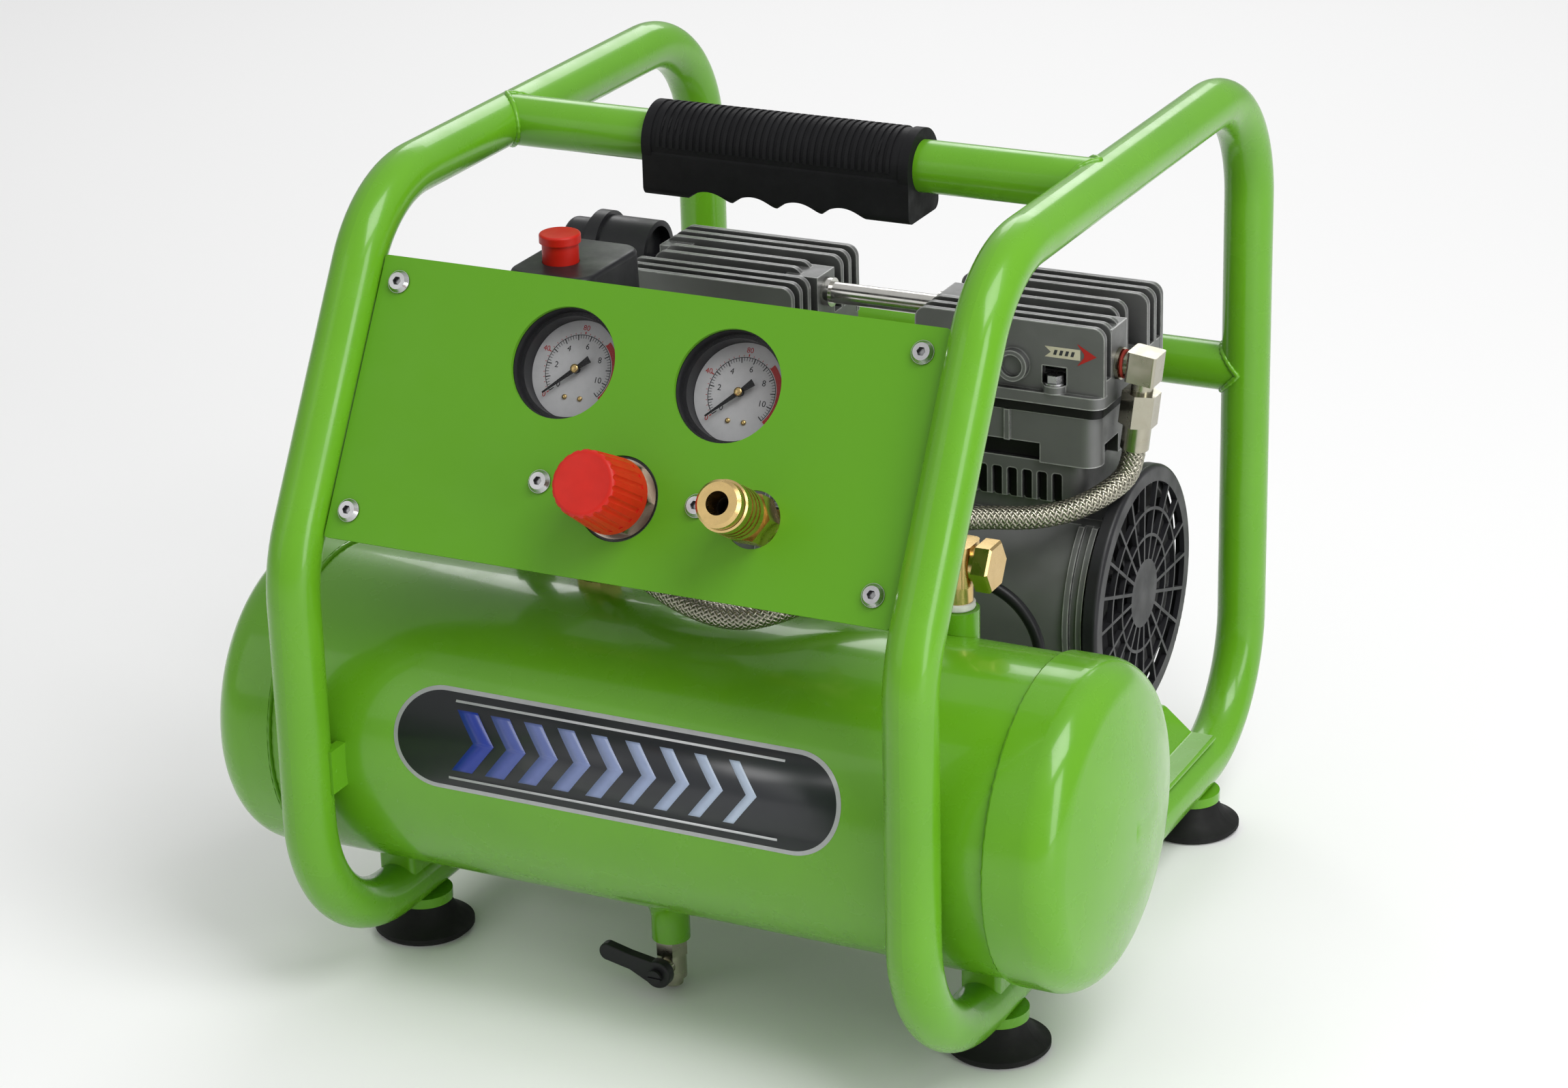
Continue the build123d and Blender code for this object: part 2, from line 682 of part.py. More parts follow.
sleeve_low = 14.5
sleeve_high = 33.8
with BuildPart() as coupler_sleeve:
    with BuildSketch(panel_at(coupler_x, outlet_s, -sleeve_low)):
        Circle(12)
    extrude(amount=sleeve_high - sleeve_low)
    chamfer(coupler_sleeve.edges().filter_by(GeomType.CIRCLE), 0.8)
    for groove_at in (19.0, 23.0, 27.0):
        with BuildSketch(panel_at(coupler_x, outlet_s, -groove_at)):
            Circle(13)
            Circle(11.1, mode=Mode.SUBTRACT)
        extrude(amount=1.6, mode=Mode.SUBTRACT)
    with BuildSketch(panel_at(coupler_x, outlet_s, -sleeve_low + 1)):
        Circle(9.55)
    extrude(amount=sleeve_high - sleeve_low + 2, mode=Mode.SUBTRACT)
save(coupler_sleeve.part, "coupler_sleeve")

# ---- air line behind the panel ------------------------------------------------------------------
line_y, line_z = on_panel(0, outlet_s, line_depth)[1:]
manifold_half = 10.0
manifold_y = (line_y - manifold_half, -32.0)
with BuildPart() as manifold_block:
    with BuildSketch(Plane(origin=(riser_x, manifold_y[0], line_z), x_dir=(1, 0, 0), z_dir=(0, 1, 0))):
        RectangleRounded(2 * manifold_half, 2 * manifold_half, 3)
    extrude(amount=manifold_y[1] - manifold_y[0])
    with BuildSketch(Plane(origin=(riser_x, riser_y, 196))):
        Circle(thread_r - weld_gap)
    extrude(amount=line_z - 196)
    with BuildSketch(Plane(origin=(riser_x, riser_y, 206.1))):
        RegularPolygon(9.5, 6, major_radius=False)
    extrude(amount=12)
    with BuildSketch(Plane(origin=(riser_x, switch_y, line_z))):
        Circle(7)
    extrude(amount=switch_base_z - line_z - weld_gap)
save(manifold_block.part, "manifold_block")


def straight_pipe(x_low, x_high):
    """A straight nipple along X on the air line, with a hexagon at its left end."""
    with BuildPart() as pipe:
        with BuildSketch(across(x_low, line_y, line_z)):
            Circle(6)
        extrude(amount=x_high - x_low)
        with BuildSketch(across(x_low, line_y, line_z)):
            RegularPolygon(8, 6, major_radius=False)
        extrude(amount=8)
        with BuildSketch(across(x_low - 1, line_y, line_z)):
            Circle(4)
        extrude(amount=x_high - x_low + 2, mode=Mode.SUBTRACT)
    return pipe.part


with BuildPart() as air_pipes:
    add(straight_pipe(riser_x + manifold_half + weld_gap, hardware_x - 30 - weld_gap))
    add(straight_pipe(hardware_x + 30 + weld_gap, coupler_x - 8.5 - weld_gap))
save(air_pipes.part, "air_pipes")

# one small tube to each gauge: from the manifold to the left gauge, from the coupler to the right
gauge_tube_r = 3.0
stem_end = gauge_depth + 9.1


def gauge_tube(points, radii):
    """A bent copper tube through the given points."""
    with BuildPart() as tube:
        with BuildLine() as path:
            FilletPolyline(*points, radius=radii)
        with BuildSketch(Plane(origin=path.line @ 0, z_dir=path.line % 0)):
            Circle(gauge_tube_r)
        sweep(path=path.line)
    return tube.part


left_top = on_panel(gauge_xs["left"], gauge_s, stem_end)
left_back = on_panel(gauge_xs["left"], gauge_s, stem_end + 24)
right_top = on_panel(gauge_xs["right"], gauge_s, stem_end)
right_back = on_panel(gauge_xs["right"], gauge_s, stem_end + 15)
manifold_side = riser_x + manifold_half + weld_gap
coupler_back = on_panel(coupler_x, outlet_s, line_depth + 8.05)
coupler_behind = on_panel(coupler_x, outlet_s, line_depth + 22)
with BuildPart() as gauge_tubes:
    add(
        gauge_tube(
            [
                (manifold_side, left_back[1], line_z),
                (manifold_side + 31, left_back[1], line_z),
                left_back,
                left_top,
            ],
            [9, 9],
        )
    )
    add(gauge_tube([coupler_back, coupler_behind, right_back, right_top], [9, 9]))
save(gauge_tubes.part, "gauge_tubes")

# spring-loaded safety valve on the back of the manifold, with a pull ring
safety_y = manifold_y[1] + weld_gap
safety_length = 26.0
safety_plane = Plane(origin=(riser_x, safety_y, line_z), x_dir=(1, 0, 0), z_dir=(0, 1, 0))
with BuildPart() as safety_valve_body:
    with BuildSketch(safety_plane):
        RegularPolygon(8.5, 6, major_radius=False)
    extrude(amount=9)
    with BuildSketch(safety_plane.offset(9)):
        Circle(7)
    extrude(amount=safety_length - 9)
    with BuildSketch(safety_plane.offset(safety_length)):
        Circle(1.6)
    extrude(amount=-14, mode=Mode.SUBTRACT)
save(safety_valve_body.part, "safety_valve_body")

with BuildPart() as safety_valve_ring:
    with BuildSketch(safety_plane.offset(safety_length - 12)):
        Circle(1.55)
    extrude(amount=15)
    ring_centre = (riser_x, safety_y + safety_length + 2.6 + 8, line_z)
    with BuildSketch(Plane(origin=(riser_x + 8, ring_centre[1], line_z), x_dir=(1, 0, 0), z_dir=(0, -1, 0))):
        Circle(1.1)
    revolve(axis=Axis(ring_centre, (0, 0, 1)))
save(safety_valve_ring.part, "safety_valve_ring")

# check valve where the delivery hose enters the tank
check_z = 224.0
inlet_turn = math.radians(-40)
inlet_way = Vector(math.cos(inlet_turn), math.sin(inlet_turn), 0)
valve_middle = Vector(check_x, check_y, check_z)


def on_inlet(reach):
    """A plane square to the check valve's inlet, that far out from the valve's middle."""
    return Plane(origin=valve_middle + inlet_way * reach, z_dir=inlet_way)


with BuildPart() as check_valve_body:
    with BuildSketch(Plane(origin=(check_x, check_y, 194))):
        Circle(thread_r - weld_gap)
    extrude(amount=20)
    with BuildSketch(Plane(origin=(check_x, check_y, 204.1))):
        RegularPolygon(10.5, 6, major_radius=False)
    extrude(amount=9)
    with BuildSketch(Plane(origin=(check_x, check_y, 212))):
        Circle(9.5)
    extrude(amount=26)
    with BuildSketch(Plane(origin=(check_x, check_y, 237))):
        RegularPolygon(8, 6, major_radius=False)
    extrude(amount=6)
    with BuildSketch(on_inlet(0)):
        Circle(7)
    extrude(amount=16)
save(check_valve_body.part, "check_valve_body")

# port fitting on the tank's back shoulder, closed by a hexagon cap that faces +X
port_mid_z = 235.0
with BuildPart() as port_fitting:
    with BuildSketch(Plane(origin=(port_x, port_y, 200))):
        Circle(thread_r - weld_gap)
    extrude(amount=14)
    with BuildSketch(Plane(origin=(port_x, port_y, 213))):
        Circle(7.6)
    extrude(amount=14)
    with BuildSketch(Plane(origin=(port_x, port_y, port_mid_z - 10))):
        RectangleRounded(18, 18, 4)
    extrude(amount=20)
    with BuildSketch(across(port_x + 9 + weld_gap, port_y, port_mid_z)):
        Circle(8.5)
    extrude(amount=3)
    with BuildSketch(across(port_x + 12, port_y, port_mid_z)):
        RegularPolygon(11, 6, major_radius=False)
    extrude(amount=8)
    chamfer(port_fitting.faces().sort_by(Axis.X)[-1].edges(), 1.0)
save(port_fitting.part, "port_fitting")

# ---- pressure switch ----------------------------------------------------------------------------
switch_split_z = 297.0
switch_size = (48.0, 64.0)
stem_r = 9.0
with BuildPart() as pressure_switch_base:
    with BuildSketch(Plane(origin=(switch_x, switch_y, switch_base_z))):
        RectangleRounded(switch_size[0] - 4, switch_size[1] - 4, 10)
    extrude(amount=switch_split_z - switch_base_z)
save(pressure_switch_base.part, "pressure_switch_base")

with BuildPart() as pressure_switch_cover:
    with BuildSketch(Plane(origin=(switch_x, switch_y, switch_split_z + weld_gap))):
        RectangleRounded(*switch_size, 12)
    extrude(amount=switch_top_z - switch_split_z, taper=2)
    fillet(pressure_switch_cover.faces().sort_by(Axis.Z)[-1].edges(), 2.5)
    with BuildSketch(Plane(origin=(switch_x, switch_y, switch_split_z))):
        RectangleRounded(switch_size[0] - 8, switch_size[1] - 8, 9)
    extrude(amount=switch_top_z - switch_split_z - 5, mode=Mode.SUBTRACT)
    with BuildSketch(Plane(origin=(button_x, button_y, switch_top_z - 10))):
        Circle(stem_r + 0.3)
    extrude(amount=20, mode=Mode.SUBTRACT)
save(pressure_switch_cover.part, "pressure_switch_cover")

button_rise = 14.5
with BuildPart() as switch_button:
    with BuildSketch(Plane(origin=(button_x, button_y, switch_top_z - 14))):
        Circle(stem_r)
    extrude(amount=14 + button_rise)
    with BuildSketch(Plane(origin=(button_x, button_y, switch_top_z + button_rise - 4.5))):
        Circle(stem_r + 1.2)
    extrude(amount=4.5)
    fillet(switch_button.faces().sort_by(Axis.Z)[-1].edges(), 1.2)
save(switch_button.part, "switch_button")

# ---- pump: motor --------------------------------------------------------------------------------
with BuildPart() as motor_housing:
    with BuildSketch(across(pump_x - motor_half)):
        Circle(barrel_r - 3)
        Circle(barrel_r - 6, mode=Mode.SUBTRACT)
        with PolarLocations(barrel_r - 2.6, 28):
            Rectangle(4.4, 2.4)
    extrude(amount=2 * motor_half)
save(motor_housing.part, "motor_housing")

stator_half = 30.0
rotor_r = 34.0
with BuildPart() as stator_core:
    with BuildSketch(across(pump_x - stator_half)):
        Circle(barrel_r - 6 - weld_gap)
        Circle(rotor_r + 0.6, mode=Mode.SUBTRACT)
        with PolarLocations(rotor_r + 8, 24):
            SlotCenterToCenter(9, 4, mode=Mode.SUBTRACT)
    extrude(amount=2 * stator_half)
save(stator_core.part, "stator_core")

with BuildPart() as rotor:
    with BuildSketch(across(pump_x - stator_half)):
        Circle(rotor_r)
        Circle(shaft_r, mode=Mode.SUBTRACT)
    extrude(amount=2 * stator_half)
save(rotor.part, "rotor")

shaft_half = 136.5
with BuildPart() as motor_shaft:
    with BuildSketch(across(pump_x - shaft_half)):
        Circle(shaft_r - 0.01)
    extrude(amount=2 * shaft_half)
save(motor_shaft.part, "motor_shaft")

bearing_r = 16.0
bearing_at = 45.2
bearing_t = 7.0
with BuildPart() as motor_bearings:
    for side in sides.values():
        with BuildSketch(across(pump_x + side * bearing_at)):
            Circle(bearing_r - weld_gap)
            Circle(shaft_r + 0.04, mode=Mode.SUBTRACT)
        extrude(amount=side * bearing_t)
save(motor_bearings.part, "motor_bearings")

fan_low = 127.0
fan_t = 9.0
blade_count = 9
with BuildPart() as cooling_fans:
    for side in sides.values():
        hub_plane = across(pump_x + side * fan_low)
        with BuildSketch(hub_plane):
            Circle(14)
            Circle(shaft_r, mode=Mode.SUBTRACT)
        extrude(amount=side * fan_t)
        for blade in range(blade_count):
            turn = math.radians(360 / blade_count * blade)
            outward = Vector(0, math.cos(turn), math.sin(turn))
            sideways = Vector(0, -math.sin(turn), math.cos(turn))
            root = Vector(pump_x + side * (fan_low + fan_t / 2), motor_y, motor_z) + outward * 12
            pitched = Vector(0.8, 0, 0) + sideways * 0.6
            with BuildSketch(Plane(origin=root, x_dir=pitched, z_dir=outward)):
                Rectangle(9.5, 1.8)
            extrude(amount=42)
save(cooling_fans.part, "cooling_fans")

crank_up = {"left": 1, "right": -1}
with BuildPart() as eccentrics:
    for side_name, x in cylinder_xs.items():
        pin_z = motor_z + crank_up[side_name] * crank_throw
        with BuildSketch(across(x - 6, motor_y, pin_z)):
            Circle(crankpin_r)
        extrude(amount=12)
        with BuildSketch(across(x - 10, motor_y, motor_z)):
            Circle(shaft_r)
        extrude(amount=20, mode=Mode.SUBTRACT)
save(eccentrics.part, "eccentrics")


def rod_piston(side_name):
    """A wobble piston: big-end ring, rod and piston disc in one piece."""
    x = cylinder_xs[side_name]
    pin_z = motor_z + crank_up[side_name] * crank_throw
    with BuildPart() as rod:
        with BuildSketch(across(x - 5)):
            with Locations((0, pin_z - motor_z)):
                Circle(crankpin_r + 7)
            with Locations((0, pin_z - motor_z + rod_length / 2)):
                Rectangle(14, rod_length - 6)
        extrude(amount=10)
        with BuildSketch(Plane(origin=(x, motor_y, pin_z + rod_length - 10))):
            Circle(piston_r)
        extrude(amount=10)
        with BuildSketch(across(x - 12, motor_y, pin_z)):
            Circle(crankpin_r + 0.05)
        extrude(amount=24, mode=Mode.SUBTRACT)
    return rod.part


for side_name in sides:
    save(rod_piston(side_name), "rod_piston_" + side_name)


# ---- pump: castings -----------------------------------------------------------------------------
vent_z = 222.0                    # a row of upright pockets in each cylinder's waist, front and back
vent_size = (5.2, 16.0)
vent_pitch = 8.0
vent_count = 7
vent_depth = 3.5
skirt_z = 215.0                   # a cylinder's skirt is narrow up to here, and its waist up to flange_z
flange_z = 236.0
waist_y = 72.0
flange_x = 92.0
flange_y = 78.0
window_size = (44.0, 10.0)        # a wide slot under the flange, front and back
end_window_size = (18.0, 10.0)    # and a short one at each end
window_depth = 6.0
rib_size = (3.0, 2.4)


def crankcase(side_name):
    """A barrel open at the fan end, with a flat deck for the cylinder and a foot below."""
    side = sides[side_name]
    x = cylinder_xs[side_name]
    inner = pump_x + side * motor_half
    length = case_half - motor_half
    with BuildPart() as case:
        with BuildSketch(across(inner)):
            Circle(barrel_r)
        extrude(amount=side * length)
        for ring_at in (0, length - 12, length - 5):
            with BuildSketch(across(inner + side * ring_at)):
                Circle(barrel_r + 1.8)
            extrude(amount=side * 3)
        with BuildSketch(Plane(origin=(x, motor_y, motor_z))):
            Rectangle(74, 70)
        extrude(amount=deck_top_z - motor_z)
        with BuildSketch(Plane(origin=(x, motor_y, mount_top_z + weld_gap))):
            RectangleRounded(22, 116, 4)
        extrude(amount=11)
        with BuildSketch(Plane(origin=(x, motor_y, mount_top_z + 5))):
            Rectangle(14, 70)
        extrude(amount=40)
        with BuildSketch(Plane(origin=(x, motor_y, deck_top_z))):
            Rectangle(100, 120)
        extrude(amount=40, mode=Mode.SUBTRACT)
        with BuildSketch(across(inner + side * 8)):
            Circle(barrel_r - 5)
        extrude(amount=side * length, mode=Mode.SUBTRACT)
        with BuildSketch(across(inner - side)):
            Circle(bearing_r)
        extrude(amount=side * 12, mode=Mode.SUBTRACT)
        with BuildSketch(Plane(origin=(x, motor_y, motor_z))):
            Circle(bore_r + 1)
        extrude(amount=80, mode=Mode.SUBTRACT)
    return case.part


head_flange_y = 86.0
head_flange_t = 6.0
fin_t = 3.2
bolt_spots = [(bolt_x, bolt_y) for bolt_x in (-24, 24) for bolt_y in (-38.5, 38.5)]
bolt_seat_z = 278.0
bolt_boss_r = 6.0
bolt_pocket_r = 6.4
plug_z = 286.0
plug_r = 8.0


def cylinder(side_name):
    """A square cylinder block, its skirt narrower than its top flange."""
    x = cylinder_xs[side_name]
    with BuildPart() as block:
        with BuildSketch(Plane(origin=(x, motor_y, deck_top_z + weld_gap))):
            RectangleRounded(72, 66, 6)
        extrude(amount=32)
        with BuildSketch(Plane(origin=(x, motor_y, skirt_z))):
            RectangleRounded(76, waist_y, 7)
        extrude(amount=flange_z - skirt_z)
        with BuildSketch(Plane(origin=(x, motor_y, flange_z))):
            RectangleRounded(flange_x, flange_y, 8)
        extrude(amount=cylinder_top_z - flange_z)
        window_z = flange_z + window_size[1] / 2
        for front in (-1, 1):
            inward = (0, -front, 0)
            vent_plane = Plane(origin=(x, motor_y + front * waist_y / 2, vent_z), x_dir=(1, 0, 0), z_dir=inward)
            with BuildSketch(vent_plane):
                with GridLocations(vent_pitch, 1, vent_count, 1):
                    RectangleRounded(*vent_size, 1.5)
            extrude(amount=vent_depth, mode=Mode.SUBTRACT)
            window_at = (x - 6, motor_y + front * flange_y / 2, window_z)
            with BuildSketch(Plane(origin=window_at, x_dir=(1, 0, 0), z_dir=inward)):
                Rectangle(*window_size)
            extrude(amount=window_depth, mode=Mode.SUBTRACT)
            end_at = (x + front * flange_x / 2, motor_y - flange_y / 4, window_z)
            with BuildSketch(Plane(origin=end_at, x_dir=(0, 1, 0), z_dir=(-front, 0, 0))):
                Rectangle(*end_window_size)
            extrude(amount=window_depth, mode=Mode.SUBTRACT)
            with BuildSketch(Plane(origin=(x - 1, motor_y + front * flange_y / 2, flange_z + window_size[1]))):
                Rectangle(*rib_size)
            extrude(amount=cylinder_top_z - flange_z - window_size[1])
        with BuildSketch(Plane(origin=(x, motor_y, deck_top_z - 1))):
            Circle(bore_r)
        extrude(amount=80, mode=Mode.SUBTRACT)
    return block.part


def cylinder_head(side_name):
    """A finned head. Both are one casting, turned half round from each other."""
    side = sides[side_name]
    head_plane = Plane(origin=(cylinder_xs[side_name], motor_y, 0), x_dir=(side, 0, 0), z_dir=(0, 0, 1))
    half_x = head_size_x / 2
    fin_rows = [(row, half_x, half_x) for row in (-38.0, -28.8, -19.6, 19.6, 28.8, 38.0)]
    fin_rows += [(row, half_x - 10, half_x - 6) for row in (-5.5, 5.5)]
    with BuildPart() as head:
        with BuildSketch(head_plane.offset(head_base_z + weld_gap)):
            RectangleRounded(head_size_x, head_flange_y, 7)
        extrude(amount=head_flange_t)
        with BuildSketch(head_plane.offset(head_base_z + head_flange_t)):
            RectangleRounded(head_size_x, head_size_y - 3, 5)
        extrude(amount=8)
        for row_y, inner_end, outer_end in fin_rows:
            with BuildSketch(head_plane.offset(head_base_z + head_flange_t)):
                with Locations(((outer_end - inner_end) / 2, row_y)):
                    Rectangle(inner_end + outer_end, fin_t)
            extrude(amount=head_top_z - head_base_z - head_flange_t)
        corner_edges = head.edges().filter_by(Axis.Y).filter_by(lambda e: e.center().Z > head_top_z - 0.1)
        fillet(corner_edges, 6)
        with BuildSketch(head_plane.offset(head_base_z + head_flange_t)):
            with Locations((-41, 0)):
                Rectangle(18, 20)
            with Locations((42, -port_offset_y)):
                Rectangle(16, 20)
        extrude(amount=head_top_z - head_base_z - 9)
        with BuildSketch(head_plane.offset(bolt_seat_z)):
            with Locations(*bolt_spots):
                Circle(bolt_pocket_r)
        extrude(amount=9, mode=Mode.SUBTRACT)
        with BuildSketch(head_plane.offset(head_base_z + head_flange_t)):
            with Locations(*bolt_spots):
                Circle(bolt_boss_r)
        extrude(amount=bolt_seat_z - head_base_z - head_flange_t)
        for front in (-1, 1):
            plug_y = motor_y + front * (head_size_y / 2 - 2)
            plug_plane = Plane(
                origin=(cylinder_xs[side_name] - front * 3, plug_y, plug_z), x_dir=(1, 0, 0), z_dir=(0, front, 0)
            )
            with BuildSketch(plug_plane):
                Circle(plug_r)
            extrude(amount=5)
            with BuildSketch(plug_plane.offset(5)):
                Circle(plug_r - 2.4)
            extrude(amount=-2.4, mode=Mode.SUBTRACT)
    return head.part


def fan_cover(side_name):
    """A round cover with a spoked grille."""
    side = sides[side_name]
    start = pump_x + side * (case_half + weld_gap)
    face = pump_x + side * (case_half + fan_cover_depth - 2.6)
    with BuildPart() as cover:
        with BuildSketch(across(start)):
            Circle(fan_cover_r)
            Circle(fan_cover_r - 3, mode=Mode.SUBTRACT)
        extrude(amount=side * (fan_cover_depth - weld_gap))
        with BuildSketch(across(face)):
            Circle(fan_cover_r - 1)
            for low, high in ((17.5, 29), (30.6, 42.5), (44.1, 57)):
                with BuildSketch(mode=Mode.PRIVATE) as ring:
                    Circle(high)
                    Circle(low, mode=Mode.SUBTRACT)
                add(ring.sketch, mode=Mode.SUBTRACT)
            with PolarLocations(37, 20):
                Rectangle(44, 1.7)
        extrude(amount=side * 2.6)
        rim = cover.edges().filter_by(GeomType.CIRCLE).filter_by(lambda e: abs(e.radius - fan_cover_r) < 0.01)
        fillet(rim.sort_by(Axis.X)[-1 if side > 0 else 0], 2.4)
    return cover.part


for side_name in sides:
    save(crankcase(side_name), "crankcase_" + side_name)
    save(cylinder_head(side_name), "cylinder_head_" + side_name)

with BuildPart() as cylinders:
    for side_name in sides:
        add(cylinder(side_name))
save(cylinders.part, "cylinders")

with BuildPart() as fan_covers:
    for side_name in sides:
        add(fan_cover(side_name))
save(fan_covers.part, "fan_covers")

with BuildPart() as valve_plates:
    with BuildSketch(Plane.XY.offset(cylinder_top_z + weld_gap)):
        with Locations(*[(x, motor_y) for x in cylinder_xs.values()]):
            RectangleRounded(95, 79, 6)
    extrude(amount=plate_t - weld_gap)
save(valve_plates.part, "valve_plates")

with BuildPart() as head_bolts:
    for x in cylinder_xs.values():
        for bolt_x, bolt_y in bolt_spots:
            with BuildSketch(Plane(origin=(x + bolt_x, motor_y + bolt_y, bolt_seat_z + weld_gap))):
                Circle(5.2)
            extrude(amount=1)
            with BuildSketch(Plane(origin=(x + bolt_x, motor_y + bolt_y, bolt_seat_z + 1))):
                RegularPolygon(4, 6, major_radius=False)
            extrude(amount=4)
with BuildPart() as machine_screws:
    add(panel_screws.part)
    add(head_bolts.part)
save(machine_screws.part, "machine_screws")

# ---- pump: pipework -----------------------------------------------------------------------------
transfer_low = cylinder_xs["left"] + head_size_x / 2 + weld_gap
transfer_high = cylinder_xs["right"] - head_size_x / 2 - weld_gap
with BuildPart() as transfer_pipe:
    with BuildSketch(across(transfer_low, motor_y, transfer_z)):
        Circle(5.5)
        Circle(4, mode=Mode.SUBTRACT)
    extrude(amount=transfer_high - transfer_low)
    for ring_low in (transfer_low, transfer_high - 4):
        with BuildSketch(across(ring_low, motor_y, transfer_z)):
            Circle(7.5)
            Circle(4, mode=Mode.SUBTRACT)
        extrude(amount=4)
save(transfer_pipe.part, "transfer_pipe")

filter_r = 17.0
filter_x = (-161.0, -124.0)
filter_y = motor_y + port_offset_y
filter_z = 298.0
head_left_end = cylinder_xs["left"] - head_size_x / 2 - weld_gap
with BuildPart() as intake_filter:
    with BuildSketch(across(filter_x[0], filter_y, filter_z)):
        Circle(filter_r)
    extrude(amount=filter_x[1] - filter_x[0])
    with BuildSketch(across(filter_x[1], filter_y, filter_z)):
        Circle(filter_r - 3)
    extrude(amount=-6, mode=Mode.SUBTRACT)
    with BuildSketch(across(filter_x[0] + 2, filter_y, filter_z)):
        Circle(filter_r + 2.2)
    extrude(amount=7)
    with BuildSketch(across(filter_x[0], filter_y, filter_z)):
        Circle(filter_r - 3)
    extrude(amount=-15)
    fillet(intake_filter.faces().sort_by(Axis.X)[0].edges(), 4)
    with BuildSketch(across(filter_x[0] - 16, filter_y, filter_z)):
        Circle(4.5)
    extrude(amount=6, mode=Mode.SUBTRACT)
    with BuildSketch(across(filter_x[1] - 8, filter_y, port_z)):
        Circle(6.5)
    extrude(amount=head_left_end - filter_x[1] + 8)
save(intake_filter.part, "intake_filter")

# delivery: elbow on the right head, then nut and ferrule at each end of the braided hose
elbow_x = 162.5
elbow_y = motor_y - port_offset_y
elbow_z = 286.0
arm_lean = math.radians(7)
arm_way = Vector(-math.sin(arm_lean), 0, -math.cos(arm_lean))
elbow_middle = Vector(elbow_x, elbow_y, elbow_z)
fitting_end = 43.0                # from the elbow's middle to where the hose starts
inlet_end = 36.0                  # from the check valve's middle to where the hose ends
nut_apothem = 8.5
ferrule_r = 7.1
head_right_end = cylinder_xs["right"] + head_size_x / 2 + weld_gap


def on_arm(reach):
    """A plane square to the elbow's lower arm, that far from the elbow's middle."""
    return Plane(origin=elbow_middle + arm_way * reach, x_dir=(0, 1, 0), z_dir=arm_way)


with BuildPart() as hose_fittings:
    with BuildSketch(across(head_right_end, elbow_y, elbow_z)):
        Circle(6)
    extrude(amount=elbow_x - head_right_end)
    with BuildSketch(across(head_right_end, elbow_y, elbow_z)):
        Circle(8)
    extrude(amount=2)
    with BuildSketch(on_arm(-8)):
        RectangleRounded(15, 15, 1.5)
    extrude(amount=15.5)
    with BuildSketch(on_arm(7)):
        Circle(5.5)
    extrude(amount=6)
    with BuildSketch(on_arm(13)):
        RegularPolygon(nut_apothem, 6, major_radius=False)
    extrude(amount=17)
    with BuildSketch(on_arm(30)):
        Circle(ferrule_r)
    extrude(amount=fitting_end - 30)
    with BuildSketch(on_inlet(16 + weld_gap)):
        RegularPolygon(nut_apothem, 6, major_radius=False)
    extrude(amount=11)
    with BuildSketch(on_inlet(27)):
        Circle(ferrule_r)
    extrude(amount=inlet_end - 27)
save(hose_fittings.part, "hose_fittings")

# stainless braided hose: down from the elbow, forward past the motor, under the panel's edge
# and back into the check valve
hose_start = elbow_middle + arm_way * (fitting_end + weld_gap)
hose_finish = valve_middle + inlet_way * (inlet_end + weld_gap)
hose_route = [
    tuple(hose_start),
    tuple(hose_start + arm_way * 12),
    (151.5, 47.0, 225.0),
    (140.0, 30.0, 218.5),
    (122.0, 15.0, 215.5),
    (98.0, -3.0, 219.5),
    (84.0, -24.0, 222.0),
    (80.0, -52.0, 222.5),
    (79.0, -84.0, 222.5),
    (73.0, -112.0, 220.5),
    (60.0, -134.0, 215.5),
    (40.0, -146.0, 211.0),
    (14.0, -147.0, 215.0),
    tuple(hose_finish + inlet_way * 18),
    tuple(hose_finish),
]


def arc_radii(points):
    """The largest even radii: 0.45 of the shorter run over the tangent of half the turn."""
    radii = []
    for before, corner, after in zip(points, points[1:], points[2:]):
        run_in = Vector(*corner) - Vector(*before)
        run_out = Vector(*after) - Vector(*corner)
        half_turn = math.radians(run_in.get_angle(run_out) / 2)
        radii.append(0.45 * min(run_in.length, run_out.length) / math.tan(half_turn))
    return radii


def flexible_line(points, section_r):
    """A round line along straight runs joined by tangent arcs."""
    radii = arc_radii(points)
    print("arc radii", [round(value) for value in radii])
    with BuildPart() as line:
        with BuildLine() as path:
            FilletPolyline(*points, radius=radii)
        with BuildSketch(Plane(origin=path.line @ 0, z_dir=path.line % 0)):
            Circle(section_r)
        sweep(path=path.line)
    route_length = path.wires()[0].length
    expected = math.pi * section_r ** 2 * route_length
    print("line length", round(route_length), "volume ratio", round(line.part.volume / expected, 4))
    return line.part


save(flexible_line(hose_route, hose_r), "braided_hose")

# motor lead: out of the right crankcase's lower front, up behind the tank and over to the switch,
# with a tapered relief moulded on at each end
relief_r = 5.5
relief_length = 16.0
lead_turn = math.radians(-140)
lead_way = Vector(0, math.cos(lead_turn), math.sin(lead_turn))
lead_start = Vector(106, motor_y, motor_z) + lead_way * (barrel_r + weld_gap)
lead_finish = Vector(switch_x + switch_size[0] / 2 - 2 + weld_gap, switch_y, 289)
lead_route = [
    tuple(lead_start),
    tuple(lead_start + lead_way * 24),
    (118.0, -9.0, 101.0),
    (131.0, -17.0, 122.0),
    (139.0, -19.0, 146.0),
    (138.0, -19.0, 171.0),
    (122.0, -20.0, 191.0),
    (92.0, -22.0, 198.0),
    (50.0, -30.0, 198.0),
    (12.0, -34.0, 207.0),
    (-16.0, -38.0, 234.0),
    (-28.0, -44.0, 264.0),
    (-44.0, switch_y, 287.0),
    tuple(lead_finish),
]


